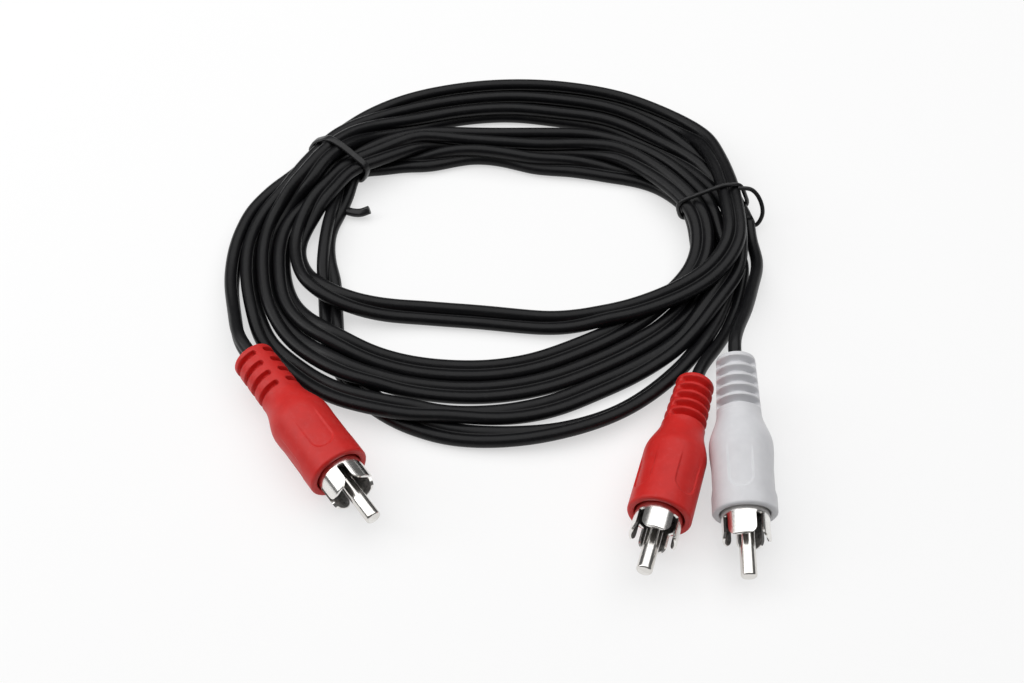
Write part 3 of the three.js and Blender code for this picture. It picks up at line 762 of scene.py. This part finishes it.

# %% [markdown]
# ## Split collars
# Four slots part the front of the collar into petals that spring on to the socket, and the petals have
# round corners. The ring is turned whole and the slots are cut by booleans, as they are sawn into the
# real one: each cutter is the outline of a slot, widened at its mouth by the round corners on both
# sides. A small bevel then catches the light on the edges.
#
# Inside, the plating gets a dull, very dark finish, which is painted shade for the collar's hollow. The faces
# there are remembered, and get that finish later.

# %% Collars
def finish_edges(obj, width, angle=32, segments=2):
    """Small rounds on the sharp edges, with even shading on the flats."""
    bevel = obj.modifiers.new("rounds", "BEVEL")
    bevel.width = width
    bevel.segments = segments
    bevel.limit_method = "ANGLE"
    bevel.angle_limit = math.radians(angle)
    bevel.harden_normals = True
    return obj


def apply_modifiers(obj):
    """Puts what the modifiers make into the mesh itself."""
    graph = bpy.context.evaluated_depsgraph_get()
    mesh = bpy.data.meshes.new_from_object(obj.evaluated_get(graph))
    obj.modifiers.clear()
    obj.data = mesh
    return obj


def slot_outline():
    """The slot between two petals, as (across, station) points, open towards the front."""
    half, corner, base = 0.75, 1.9, BOOT_LENGTH + 0.9
    outline = [(-half - corner - 0.6, FRONT + 1)]
    outline += [(-half - corner + corner * math.sin(t), FRONT - corner + corner * math.cos(t))
                for t in np.linspace(0, math.pi / 2, 9)]
    outline += [(-half, base + 0.3), (-half + 0.09, base + 0.09), (-half + 0.3, base)]
    return outline + [(-x, s) for x, s in outline[::-1]]


painted_shade_faces = {}


def make_shell(name, plug):
    collar = turned(name, plug, [
        (2.7, REAR), (COLLAR_R, REAR), (COLLAR_R, FRONT - 0.25), (COLLAR_R - 0.12, FRONT - 0.07),
        (COLLAR_R - 0.3, FRONT), (COLLAR_R - COLLAR_WALL, FRONT), (COLLAR_R - COLLAR_WALL, REAR + 0.6),
        (2.7, REAR + 0.6)], steps=128)
    for k in range(4):
        turn = math.radians(plug["shell_turn"] + 45 + 90 * k)
        out = np.array([math.cos(turn), math.sin(turn)])
        across = np.array([-math.sin(turn), math.cos(turn)])
        rings = [[(*(out * reach + across * x), s) for x, s in slot_outline()] for reach in (3.2, 7.0)]
        cutter = skin("cutter", on_plug(plug, np.array(rings)))
        cut = collar.modifiers.new("slot", "BOOLEAN")
        cut.operation = "DIFFERENCE"
        cut.solver = "EXACT"
        cut.object = cutter
        apply_modifiers(collar)
        bpy.data.objects.remove(cutter)
    finish_edges(collar, 0.00007)
    apply_modifiers(collar)
    local = [(np.array(p.center) * 1000 - SHIFT - plug["at"]) @ plug["axes"].T for p in collar.data.polygons]
    # Faces inside the collar's wall are listed, to get the painted shade.
    wall = COLLAR_R - COLLAR_WALL + 0.04
    painted_shade_faces[name] = [i for i, p in enumerate(local) if math.hypot(p[0], p[1]) < wall]
    return collar


print("slot outline of", len(slot_outline()), "points")

# %% [markdown]
# ## Pins and insulators
# The centre pin is a plated rod with rounded edges at its tip, and a solder cup in its rear for the
# conductor. The insulator is a stepped plastic ring that fits the collar's inside and carries the pin. Both
# have fine edges that are part of the profile, so they need no bevel.

# %% Pins and insulators
INSULATOR_REAR = REAR - 1.3
CUP_LENGTH, PIN_RADIUS, PIN_REACH = 3.3, 1.6, 13


def make_pin(name, plug):
    tip, radius = BOOT_LENGTH + PIN_REACH, PIN_RADIUS
    rear = INSULATOR_REAR - CUP_LENGTH
    cup = 0.95 if plug["cores"] == 2 else 0.7
    profile = [(0.001, rear + 2), (cup, rear + 2), (cup, rear), (radius - 0.08, rear), (radius, rear + 0.1)]
    profile += [(radius, s) for s in np.linspace(rear + 1, tip - 0.6, 9)]
    profile += [(radius - 0.45 + 0.45 * math.cos(t), tip - 0.55 + 0.45 * math.sin(t))
                for t in np.linspace(0.1, math.pi / 2, 8)]
    profile += [(0.001, tip)]
    return turned(name, plug, profile, steps=64, closed=False)


def make_insulator(name, plug):
    start = REAR + 0.9
    end = start + 3.8
    profile = [(1.9, INSULATOR_REAR), (2.4, INSULATOR_REAR), (2.4, start),
               (3.95, start), (3.95, end - 0.15), (3.8, end),
               (2.2, end), (2.05, end - 0.15), (2.0, end - 0.5), (1.9, end - 0.6)]
    return turned(name, plug, profile, steps=72)


metal, plastic = [], []
for name, plug in PLUGS.items():
    shell = make_shell(f"{name}_petal_collar", plug)
    pin = make_pin(f"{name}_pin", plug)
    insulator = make_insulator(f"{name}_core_insulator", plug)
    plug["pieces"] = [boots[name], shell, pin, insulator]
    metal += [shell, pin]
    plastic.append(insulator)
    print(name, "collar faces", len(shell.data.polygons))

# %% [markdown]
# ## Where the ties pass
# A tie is drawn tight round whatever runs through it, so its shape follows from the turns at its place.
# `gathered` cuts through the coil at one angle and gives the middle of each core there. Shrinkwrapping a
# ring on to the coil could do it too, but it would sink into the gaps between turns, where a real tie is
# stretched straight across.

# %% Cores at an angle
def gathered(angle):
    """(outward distance, height) of each core where the coil passes an angle."""
    turn = math.radians(angle)
    out = np.array([math.cos(turn), math.sin(turn)])
    across = np.array([-out[1], out[0]])
    hits = []
    for core in (twin_a, twin_b):
        rel = core[:, :2] - COIL_MIDDLE
        reach, side, z = rel @ out, rel @ across, core[:, 2]
        for i in np.nonzero((side[:-1] * side[1:] <= 0) & (reach[:-1] > 0))[0]:
            t = side[i] / (side[i] - side[i + 1]) if side[i] != side[i + 1] else 0
            hits.append((reach[i] + t * (reach[i + 1] - reach[i]), z[i] + t * (z[i + 1] - z[i])))
    return np.array(hits), out, across


print("cores at the ties:", len(gathered(146)[0]), "and", len(gathered(12)[0]))

# %% [markdown]
# ## A tight line round them
# The tightest line round a set of circles is the hull of points on the circles. It is found with a walk
# along the sorted points that drops every one that would make the line turn inwards, once below and once
# above. Then the line is cut to even steps and softened a little, as wire doesn't bend in sharp corners.

# %% Tight lines
def wrapped(hits, grow):
    """The tight line round circles of one size, as points in turn."""
    t = np.linspace(0, 2 * math.pi, 48, endpoint=False)
    cloud = np.concatenate([h + grow * np.stack([np.cos(t), np.sin(t)], 1) for h in hits])
    cloud[:, 1] = np.maximum(cloud[:, 1], 0.5)
    cloud = cloud[np.lexsort((cloud[:, 1], cloud[:, 0]))]

    def chain(points):
        kept = []
        for p in points:
            while len(kept) > 1:
                u, v = kept[-1] - kept[-2], p - kept[-1]
                if u[0] * v[1] - u[1] * v[0] > 0:
                    break
                kept.pop()
            kept.append(p)
        return kept[:-1]

    hull = np.array(chain(list(cloud)) + chain(list(cloud[::-1])))
    closed = np.concatenate([hull, hull[:1]])
    run = np.r_[0, np.cumsum(np.linalg.norm(np.diff(closed, axis=0), axis=1))]
    even = np.linspace(0, run[-1], 72, endpoint=False)
    loop = np.stack([np.interp(even, run, closed[:, k]) for k in range(2)], 1)
    for _ in range(3):
        loop = 0.25 * np.roll(loop, 1, 0) + 0.5 * loop + 0.25 * np.roll(loop, -1, 0)
    return loop


left_hits, left_out, left_across = gathered(146)
print("left tie round", len(left_hits), "cores,", len(wrapped(left_hits, HALF)), "points")

# %% [markdown]
# ## The left tie
# The left tie is a flat band, and one end of it sticks out as a short twisted tail. A band is a rectangle
# with rounded corners, taken round the tight line with its width along the lead.

# %% Left tie
def place(loop, out):
    """Stands a line of (outward distance, height) points up in the direction out."""
    flat = COIL_MIDDLE + loop[:, :1] * out
    return np.concatenate([flat, loop[:, 1:]], 1)


def band_section(width, thickness, n=5):
    corners, round_by = [], min(width, thickness) * 0.42
    for cx, cy, start in ((1, 1, 0), (-1, 1, 90), (-1, -1, 180), (1, -1, 270)):
        for t in np.radians(np.linspace(start, start + 90, n)):
            corners.append((cx * (width / 2 - round_by) + round_by * math.cos(t),
                            cy * (thickness / 2 - round_by) + round_by * math.sin(t)))
    return corners


def closed_band(name, line, axis, section):
    line = np.asarray(line)
    forward = unit(np.roll(line, -1, 0) - np.roll(line, 1, 0))
    across = np.broadcast_to(axis, line.shape)
    across = unit(across - (across * forward).sum(1)[:, None] * forward)
    rise = np.cross(forward, across)
    rings = rings_along(line, section, across, rise)
    return skin(name, np.concatenate([rings, rings[:1]]), closed_ends=False)


left_line = place(wrapped(left_hits, HALF + 0.45), left_out)
left_band = closed_band("left_tie_band", left_line, np.array([*left_across, 0]), band_section(1.7, 0.8))
tail_points = [(-38.8, 44.5, 1.3), (-40.6, 41.2, 1.3), (-40.2, 38.6, 1.4),
               (-38.2, 37.2, 1.5), (-35.8, 36.8, 1.6), (-33.6, 37, 2.4)]
tail = through(tail_points, 0.25)
forward, side, rise = carried(tail, (0, 0, 1))
twist = np.linspace(0, 0.8 * math.pi, len(tail))[:, None]
side, rise = side * np.cos(twist) + rise * np.sin(twist), rise * np.cos(twist) - side * np.sin(twist)
left_tail = skin("left_tie_tail", rings_along(tail, band_section(2.0, 1.5), side, rise))
print("left tie reaches", round(float(left_line[:, 2].max()), 1), "mm up")

# %% [markdown]
# ## The right tie
# The right tie is a round wire, drawn tight round the turns. What is left of it stands out in a loop and
# comes back to the lead.

# %% Right tie
hits, out, across = gathered(12)
right_line = place(wrapped(hits, HALF + 0.5), out)
wire = [(0.5 * math.cos(t), 0.5 * math.sin(t)) for t in np.linspace(0, 2 * math.pi, 13)[:-1]]
right_band = closed_band("right_tie_wire", right_line, np.array([*across, 0]), wire)
loop_points = [(52.3, 37.3, 9.6), (55.7, 37.4, 8.8), (58.0, 35.7, 6.2),
               (58.4, 34.2, 3.2), (57.2, 33.2, 1.4), (54.8, 33.6, 0.9)]
loop_line = through(loop_points, 0.3)
forward, side, rise = carried(loop_line, (1, 0, 0))
right_end = skin("right_tie_end", rings_along(loop_line, wire, side, rise))
print("right tie reaches", round(float(right_line[:, 2].max()), 1), "mm up")

# %% [markdown]
# ## Putting the pieces on the frame
# The lead is one piece with no joints, so everything rides on one body. Each piece says which plain solid it
# takes the place of, and that solid is hidden. The inner moulds, conductors and shield tails stay as the CAD
# made them, since nothing of them is seen.

# %% Bodies and solids
body = "root"
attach(twin, body)
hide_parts("cable_coil", "twin_lead")
for name, (lead, line, length) in leads.items():
    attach(lead, body)
    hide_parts(f"{name}_lead")
for piece, node in ((left_band, "left_tie"), (left_tail, "left_tie"), (right_band, "right_tie"),
                    (right_end, "right_tie")):
    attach(piece, body)
    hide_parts(node)
for name, plug in PLUGS.items():
    boot, shell, pin, insulator = plug["pieces"]
    for piece, node, slot in ((boot, "boot", "white_pvc" if "white" in name else "red_pvc"),
                              (shell, "ground_shell", "nickel_plate"), (pin, "centre_pin", "nickel_plate"),
                              (insulator, "insulator", "insulator_plastic")):
        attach(piece, body)
        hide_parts(f"{name}_{node}")

print("pieces placed on", body)

# %% [markdown]
# ## The single leads and their plugs
# Each single lead is paired with the plug at its end, and its skin, line and length are looked up. Nothing is
# done with them here.

# %% Leads and their plugs
for name, plug_name in (("red", "right_red"), ("white", "right_white")):
    lead, line, length = leads[name]

# %% [markdown]
# ## Building with nodes
# The finishes are made of shader nodes. A few helpers keep them short: one makes a node, one makes a group
# with named sockets, and one links two sockets. An effect that several finishes share is such a group. It
# gives only colours, values and normals, and the shader itself stays in each material, where its plain
# values are set.

# %% Node helpers
def node(tree, kind, place=(0, 0), **values):
    made = tree.nodes.new(kind)
    made.location = place
    for key, value in values.items():
        setattr(made, key, value)
    return made


def group(name, inputs, outputs):
    tree = bpy.data.node_groups.new(name, "ShaderNodeTree")
    for socket, kind, default in inputs:
        item = tree.interface.new_socket(socket, in_out="INPUT", socket_type=kind)
        if default is not None:
            item.default_value = default
    for socket, kind in outputs:
        tree.interface.new_socket(socket, in_out="OUTPUT", socket_type=kind)
    start = node(tree, "NodeGroupInput", (-900, 0))
    end = node(tree, "NodeGroupOutput", (600, 0))
    return tree, start, end


def link(tree, source, target):
    tree.links.new(source, target)


FLOAT, VECTOR = "NodeSocketFloat", "NodeSocketVector"
print("node groups so far:", len(bpy.data.node_groups))

# %% [markdown]
# ## Moulded grain
# PVC from a mould isn't smooth: it takes on the fine grain of the steel, and it flows a little unevenly. Two
# noises do it, a fine one for the surface and a broad one for the tone. The fine one goes through a Bump
# node, because real grain this small would need millions of faces, and the broad one is given out as a
# value that each finish uses for its colour and sheen.

# %% Grain group
grain_group, g_in, g_out = group(
    "moulded_grain", [("Scale", FLOAT, 1.0), ("Strength", FLOAT, 0.2), ("Distance", FLOAT, 0.00004)],
    [("Value", FLOAT), ("Normal", VECTOR)])
coords = node(grain_group, "ShaderNodeTexCoord", (-900, -200))
fine = node(grain_group, "ShaderNodeTexNoise", (-600, 100))
fine.inputs["Detail"].default_value = 4
fine.inputs["Roughness"].default_value = 0.6
fine_scale = node(grain_group, "ShaderNodeMath", (-760, 100), operation="MULTIPLY")
fine_scale.inputs[1].default_value = 5200
broad = node(grain_group, "ShaderNodeTexNoise", (-600, -200))
broad.inputs["Detail"].default_value = 2
broad_scale = node(grain_group, "ShaderNodeMath", (-760, -100), operation="MULTIPLY")
broad_scale.inputs[1].default_value = 420
add = node(grain_group, "ShaderNodeMath", (-300, 0), operation="MULTIPLY_ADD")
add.inputs[1].default_value = 0.35
bump = node(grain_group, "ShaderNodeBump", (0, -100))
link(grain_group, g_in.outputs["Scale"], fine_scale.inputs[0])
link(grain_group, g_in.outputs["Scale"], broad_scale.inputs[0])
link(grain_group, fine_scale.outputs[0], fine.inputs["Scale"])
link(grain_group, broad_scale.outputs[0], broad.inputs["Scale"])
link(grain_group, coords.outputs["Object"], fine.inputs["Vector"])
link(grain_group, coords.outputs["Object"], broad.inputs["Vector"])
link(grain_group, fine.outputs["Fac"], add.inputs[0])
link(grain_group, broad.outputs["Fac"], add.inputs[2])
link(grain_group, add.outputs[0], bump.inputs["Height"])
link(grain_group, g_in.outputs["Strength"], bump.inputs["Strength"])
link(grain_group, g_in.outputs["Distance"], bump.inputs["Distance"])
link(grain_group, broad.outputs["Fac"], g_out.inputs["Value"])
link(grain_group, bump.outputs["Normal"], g_out.inputs["Normal"])

print("group", grain_group.name)

# %% [markdown]
# ## Edge wear
# Handling rubs edges first. Pointiness is high where a surface is convex, so it marks the edges, and a
# noise breaks the mark up, since nothing wears evenly. On a very dense mesh Pointiness also draws thin
# lines along the faces, so the boots do without it.

# %% Wear group
wear_group, w_in, w_out = group(
    "edge_wear", [("Sharpness", FLOAT, 6.0), ("Scale", FLOAT, 900.0)], [("Mask", FLOAT)])
geometry = node(wear_group, "ShaderNodeNewGeometry", (-900, -200))
point_map = node(wear_group, "ShaderNodeMapRange", (-600, -200))
point_map.inputs["From Min"].default_value = 0.52
point_map.inputs["From Max"].default_value = 0.62
wear_coords = node(wear_group, "ShaderNodeTexCoord", (-900, 200))
wear_noise = node(wear_group, "ShaderNodeTexNoise", (-600, 200))
wear_noise.inputs["Detail"].default_value = 5
wear_mix = node(wear_group, "ShaderNodeMath", (-200, 0), operation="MULTIPLY")
wear_power = node(wear_group, "ShaderNodeMath", (-400, 200), operation="POWER")
link(wear_group, geometry.outputs["Pointiness"], point_map.inputs["Value"])
link(wear_group, wear_coords.outputs["Object"], wear_noise.inputs["Vector"])
link(wear_group, w_in.outputs["Scale"], wear_noise.inputs["Scale"])
link(wear_group, wear_noise.outputs["Fac"], wear_power.inputs[0])
link(wear_group, w_in.outputs["Sharpness"], wear_power.inputs[1])
link(wear_group, point_map.outputs[0], wear_mix.inputs[0])
link(wear_group, wear_power.outputs[0], wear_mix.inputs[1])
link(wear_group, wear_mix.outputs[0], w_out.inputs["Mask"])

print("group", wear_group.name)

# %% [markdown]
# ## Light dust
# Soft black plastic draws dust, which shows as faint pale specks. A detailed noise, cut off so that only its
# peaks are left, gives a mask for them. Modelled specks would be more real close up, but here they are
# smaller than a pixel.

# %% Dust group
dust_group, d_in, d_out = group(
    "light_dust", [("Amount", FLOAT, 0.3), ("Scale", FLOAT, 1400.0)], [("Mask", FLOAT)])
dust_coords = node(dust_group, "ShaderNodeTexCoord", (-900, 200))
dust_noise = node(dust_group, "ShaderNodeTexNoise", (-600, 200))
dust_noise.inputs["Detail"].default_value = 8
dust_noise.inputs["Roughness"].default_value = 0.7
dust_ramp = node(dust_group, "ShaderNodeMapRange", (-300, 200))
dust_ramp.inputs["From Min"].default_value = 0.52
dust_ramp.inputs["From Max"].default_value = 0.78
dust_mix = node(dust_group, "ShaderNodeMath", (0, 100), operation="MULTIPLY")
link(dust_group, dust_coords.outputs["Object"], dust_noise.inputs["Vector"])
link(dust_group, d_in.outputs["Scale"], dust_noise.inputs["Scale"])
link(dust_group, dust_noise.outputs["Fac"], dust_ramp.inputs["Value"])
link(dust_group, dust_ramp.outputs[0], dust_mix.inputs[0])
link(dust_group, d_in.outputs["Amount"], dust_mix.inputs[1])
link(dust_group, dust_mix.outputs[0], d_out.inputs["Mask"])
print("groups", [g.name for g in bpy.data.node_groups])

# %% [markdown]
# ## Helpers for the finishes
# Every finish starts from a Principled BSDF. `use` places a shared group with values of its own, `mixed`
# lays one colour over another by a mask, and `mapped` turns a value that runs from 0 to 1 into a range, such
# as that of a roughness.

# %% Material helpers
def material(name):
    """A new material, with its node tree and its shader."""
    made = bpy.data.materials.new(name)
    made.use_nodes = True
    tree = made.node_tree
    return made, tree, tree.nodes["Principled BSDF"]


def use(tree, shared, place, **values):
    made = node(tree, "ShaderNodeGroup", place, node_tree=shared)
    for key, value in values.items():
        made.inputs[key].default_value = value
    return made


def mixed(tree, factor, first, second, place):
    """Lays the second colour over the first by a mask. The first may come from another node."""
    made = node(tree, "ShaderNodeMix", place, data_type="RGBA")
    if isinstance(first, bpy.types.NodeSocket):
        link(tree, first, made.inputs["A"])
    else:
        made.inputs["A"].default_value = first
    made.inputs["B"].default_value = second
    link(tree, factor, made.inputs["Factor"])
    return made.outputs["Result"]


def mapped(tree, value, low, high, place):
    made = node(tree, "ShaderNodeMapRange", place)
    made.inputs["To Min"].default_value = low
    made.inputs["To Max"].default_value = high
    link(tree, value, made.inputs["Value"])
    return made.outputs[0]


DUST = (0.75, 0.74, 0.72, 1)
print("finishes made so far:", len(bpy.data.materials))

# %% [markdown]
# ## Moulded PVC
# The boots are coloured through and slightly glossy. Their tone and sheen drift a little with the broad
# grain, and red PVC lets some light in, which softens its shadows. The black plastic of the insulators
# and the ties is the same recipe with other values, and with pale edges where it is worn. A single plain
# colour would look like a toy: it is the small changes of sheen that tell the eye what the piece is made of.

# %% Moulded finishes
def moulded_pvc(name, dark, base, rough, worn=None, scatter=0.0):
    made, tree, shader = material(name)
    grain = use(tree, grain_group, (-900, -200), Scale=1.0, Strength=0.22, Distance=0.00005)
    dust = use(tree, dust_group, (-900, 300), Amount=0.03, Scale=900)
    tone = mixed(tree, grain.outputs["Value"], dark, base, (-600, 200))
    if worn:
        edge = use(tree, wear_group, (-900, 100), Sharpness=1.6, Scale=700)
        tone = mixed(tree, edge.outputs["Mask"], tone, worn, (-400, 200))
    dusty = mixed(tree, dust.outputs["Mask"], tone, DUST, (-200, 200))
    link(tree, dusty, shader.inputs["Base Color"])
    link(tree, mapped(tree, grain.outputs["Value"], rough - 0.06, rough + 0.07, (-400, -100)),
         shader.inputs["Roughness"])
    link(tree, grain.outputs["Normal"], shader.inputs["Normal"])
    shader.inputs["IOR"].default_value = 1.38
    if scatter:
        shader.inputs["Subsurface Weight"].default_value = scatter
        shader.inputs["Subsurface Radius"].default_value = (0.0012, 0.0005, 0.0004)
    return made


red_pvc = moulded_pvc("red_pvc_boot", (0.5, 0.011, 0.009, 1), (0.62, 0.02, 0.016, 1), 0.45, scatter=0.08)
white_pvc = moulded_pvc("white_pvc_boot", (0.6, 0.6, 0.62, 1), (0.7, 0.7, 0.72, 1), 0.4)
BLACK_WEAR = (0.05, 0.05, 0.05, 1)
tie_pvc = moulded_pvc("tie_pvc_black", (0.006, 0.006, 0.007, 1), (0.014, 0.014, 0.015, 1), 0.3, BLACK_WEAR)
insulator_plastic = moulded_pvc("insulator_plastic_black", (0.008, 0.008, 0.008, 1),
                                (0.02, 0.019, 0.018, 1), 0.45, (0.07, 0.07, 0.07, 1))
mould = moulded_pvc("inner_mould_clear", (0.6, 0.58, 0.52, 1), (0.72, 0.7, 0.64, 1), 0.5, (0.8, 0.8, 0.76, 1))
print("moulded finishes", [made.name for made in (red_pvc, white_pvc, tie_pvc, insulator_plastic, mould)])

# %% [markdown]
# ## Jacket of the lead
# The jacket is extruded, so the die leaves fine lines along it. They are a noise that is stretched along
# the lead in its texture coordinates: many changes round the tube, and few along it. The same noise moves
# the tone, the sheen and the bump, since on the real jacket they have one cause. The black is deep and
# the reflections are soft, so the turns stay dark with only a grey sheen on top.

# %% Jacket finish
def cord_jacket(name, rough):
    """Black PVC with fine drawn lines along it and soft changes of sheen."""
    made, tree, shader = material(name)
    coords = node(tree, "ShaderNodeTexCoord", (-1300, 0))
    stretch = node(tree, "ShaderNodeMapping", (-1100, 0))
    stretch.inputs["Scale"].default_value = (26, 0.5, 1)
    lines = node(tree, "ShaderNodeTexNoise", (-900, 0))
    lines.inputs["Scale"].default_value = 1.0
    lines.inputs["Detail"].default_value = 3
    link(tree, coords.outputs["UV"], stretch.inputs["Vector"])
    link(tree, stretch.outputs["Vector"], lines.inputs["Vector"])
    grain = use(tree, grain_group, (-900, -300), Scale=0.8, Strength=0.16, Distance=0.00003)
    dust = use(tree, dust_group, (-900, 300), Amount=0.05, Scale=1100)
    tone = mixed(tree, lines.outputs["Fac"], (0.002, 0.002, 0.0025, 1), (0.006, 0.006, 0.007, 1), (-600, 200))
    dusty = mixed(tree, dust.outputs["Mask"], tone, (0.16, 0.16, 0.165, 1), (-300, 200))
    link(tree, dusty, shader.inputs["Base Color"])
    both_values = node(tree, "ShaderNodeMath", (-600, -100), operation="MULTIPLY_ADD")
    both_values.inputs[1].default_value = 0.5
    link(tree, lines.outputs["Fac"], both_values.inputs[0])
    link(tree, grain.outputs["Value"], both_values.inputs[2])
    link(tree, mapped(tree, both_values.outputs[0], rough - 0.08, rough + 0.08, (-300, -100)),
         shader.inputs["Roughness"])
    bump = node(tree, "ShaderNodeBump", (-300, -350))
    bump.inputs["Strength"].default_value = 0.15
    bump.inputs["Distance"].default_value = 0.00003
    link(tree, lines.outputs["Fac"], bump.inputs["Height"])
    link(tree, grain.outputs["Normal"], bump.inputs["Normal"])
    link(tree, bump.outputs["Normal"], shader.inputs["Normal"])
    shader.inputs["IOR"].default_value = 1.3
    return made


black_pvc = cord_jacket("black_pvc_jacket", 0.31)
print("jacket finish", black_pvc.name)

# %% [markdown]
# ## Plated metal
# The collars and pins are nickel plated: a metal with a warm grey tone, faint clouds and slightly brighter
# edges. A perfectly smooth metal would show the room as a mirror does, so the sheen is broken up a little.
# Inside the collars the plating is painted nearly black, as painted shade for the hollow. The copper of the
# conductors is made in the same way.

# %% Metal finishes
def plated(name, dark, base, rough, grain_scale):
    """Plating with a faint grain, cloudiness and brighter worn edges."""
    made, tree, shader = material(name)
    grain = use(tree, grain_group, (-900, -300), Scale=grain_scale, Strength=0.08, Distance=0.00002)
    edge = use(tree, wear_group, (-900, 100), Sharpness=1.2, Scale=1500)
    tone = mixed(tree, grain.outputs["Value"], dark, base, (-600, 200))
    worn = mixed(tree, edge.outputs["Mask"], tone, (0.93, 0.92, 0.9, 1), (-300, 200))
    link(tree, worn, shader.inputs["Base Color"])
    link(tree, mapped(tree, grain.outputs["Value"], rough - 0.05, rough + 0.07, (-300, -100)),
         shader.inputs["Roughness"])
    link(tree, grain.outputs["Normal"], shader.inputs["Normal"])
    shader.inputs["Metallic"].default_value = 1
    return made


nickel = plated("nickel_plate_bright", (0.62, 0.6, 0.57, 1), (0.8, 0.78, 0.75, 1), 0.17, 0.7)
# Painted shade: the collars' inner faces get this nearly black plating in place of the shade in their hollow.
nickel_painted_shade = plated("nickel_plate_painted_shade", (0.045, 0.036, 0.034, 1), (0.09, 0.075, 0.07, 1), 0.5, 1.0)
copper = plated("copper_strand", (0.5, 0.2, 0.1, 1), (0.75, 0.36, 0.22, 1), 0.35, 1.2)
print("metal finishes", [made.name for made in (nickel, nickel_painted_shade, copper)])

# %% [markdown]
# ## Painting the pieces
# Each piece gets one finish, and the collars a second one on their inner faces, which is a dark painted
# shade. The solids that stay as the CAD made them get theirs on the object rather than the mesh, so that
# nothing of the CAD data is changed.

# %% Painting
def paint(obj, made):
    obj.data.materials.clear()
    obj.data.materials.append(made)


for piece in (twin, *(lead for lead, _, _ in leads.values())):
    paint(piece, black_pvc)
for piece in (left_band, left_tail, right_band, right_end):
    paint(piece, tie_pvc)
for name, piece in boots.items():
    paint(piece, white_pvc if "white" in name else red_pvc)
for piece in metal:
    paint(piece, nickel)
    if piece.name in painted_shade_faces:
        # The inner faces get the dark painted shade.
        piece.data.materials.append(nickel_painted_shade)
        for i in painted_shade_faces[piece.name]:
            piece.data.polygons[i].material_index = 1
for piece in plastic:
    paint(piece, insulator_plastic)
for name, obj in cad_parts.items():
    if name.endswith("conductor") or name.endswith("shield_tail"):
        chosen = copper
    elif name.endswith("inner_mould"):
        chosen = mould
    else:
        continue
    for slot in obj.material_slots:
        slot.link = "OBJECT"
        slot.material = chosen
print("materials", len(bpy.data.materials))

# %% [markdown]
# ## Floor
# The photo has the plain white ground of a catalogue picture, with soft shadows under the lead. White paper
# under a lamp comes out grey unless the lamp is so strong that the object burns out. So a little more than
# half of the white that the camera and reflections see is the floor's own glow. The rest is lit in the
# ordinary way, which keeps the shadows, and the glow lights nothing else.

# %% Floor
floor_mesh = bpy.data.meshes.new("floor")
FLOOR_HALF = 3.0
floor_corners = [(x * FLOOR_HALF, y * FLOOR_HALF, 0) for x, y in ((-1, -1), (1, -1), (1, 1), (-1, 1))]
floor_mesh.from_pydata(floor_corners, [], [(0, 1, 2, 3)])
floor = bpy.data.objects.new("floor", floor_mesh)
scene.collection.objects.link(floor)
floor_material, floor_tree, floor_shader = material("floor_white")
floor_shader.inputs["Base Color"].default_value = (0.93, 0.93, 0.93, 1)
floor_shader.inputs["Roughness"].default_value = 0.9
floor_shader.inputs["Specular IOR Level"].default_value = 0.1
paths = node(floor_tree, "ShaderNodeLightPath", (-900, 500))
direct_or_glossy = node(floor_tree, "ShaderNodeMath", (-700, 500), operation="MAXIMUM")
any_look = node(floor_tree, "ShaderNodeMath", (-500, 500), operation="MAXIMUM")
glow_share = node(floor_tree, "ShaderNodeMath", (-300, 500), operation="MULTIPLY")
glow_share.inputs[1].default_value = 0.58
white = node(floor_tree, "ShaderNodeEmission", (-100, 300))
white.inputs["Color"].default_value = (1, 1, 1, 1)
white.inputs["Strength"].default_value = 1.0
blend = node(floor_tree, "ShaderNodeMixShader", (300, 300))
link(floor_tree, paths.outputs["Is Camera Ray"], direct_or_glossy.inputs[0])
link(floor_tree, paths.outputs["Is Glossy Ray"], direct_or_glossy.inputs[1])
link(floor_tree, direct_or_glossy.outputs[0], any_look.inputs[0])
link(floor_tree, paths.outputs["Is Transmission Ray"], any_look.inputs[1])
link(floor_tree, any_look.outputs[0], glow_share.inputs[0])
link(floor_tree, glow_share.outputs[0], blend.inputs["Fac"])
link(floor_tree, floor_shader.outputs[0], blend.inputs[1])
link(floor_tree, white.outputs[0], blend.inputs[2])
link(floor_tree, blend.outputs[0], floor_tree.nodes["Material Output"].inputs["Surface"])
floor_mesh.materials.append(floor_material)
print("floor", 2 * FLOOR_HALF, "m wide")

# %% [markdown]
# ## World and lamps
# One very large soft lamp hangs over the lead, a little behind it, and draws the broad sheen on the turns. A
# smaller one at the left rounds the boots and collars. A picture of a room as the world would give richer
# reflections in the metal, but also its colours and its hard windows, which the photo doesn't have.

# %% World and lamps
world = bpy.data.worlds.new("studio")
scene.world = world
world.use_nodes = True
background = world.node_tree.nodes["Background"]
background.inputs["Color"].default_value = (1, 1, 1, 1)
background.inputs["Strength"].default_value = 0.12


def area_light(name, at, aim, size_x, size_y, power):
    data = bpy.data.lights.new(name, "AREA")
    data.shape = "RECTANGLE"
    data.size, data.size_y, data.energy = size_x, size_y, power
    made = bpy.data.objects.new(name, data)
    made.location = at
    made.rotation_euler = (Vector(aim) - Vector(at)).to_track_quat("-Z", "Y").to_euler()
    scene.collection.objects.link(made)
    return made


area_light("overhead_soft", (0.0, 0.15, 0.7), (0, 0, 0), 1.5, 1.1, 8.3)
area_light("left_soft", (-0.75, 0.05, 0.45), (0, 0, 0), 0.4, 0.5, 2.0)
scene.view_settings.view_transform = "Standard"
print("lamps", [light.name for light in bpy.data.lights])
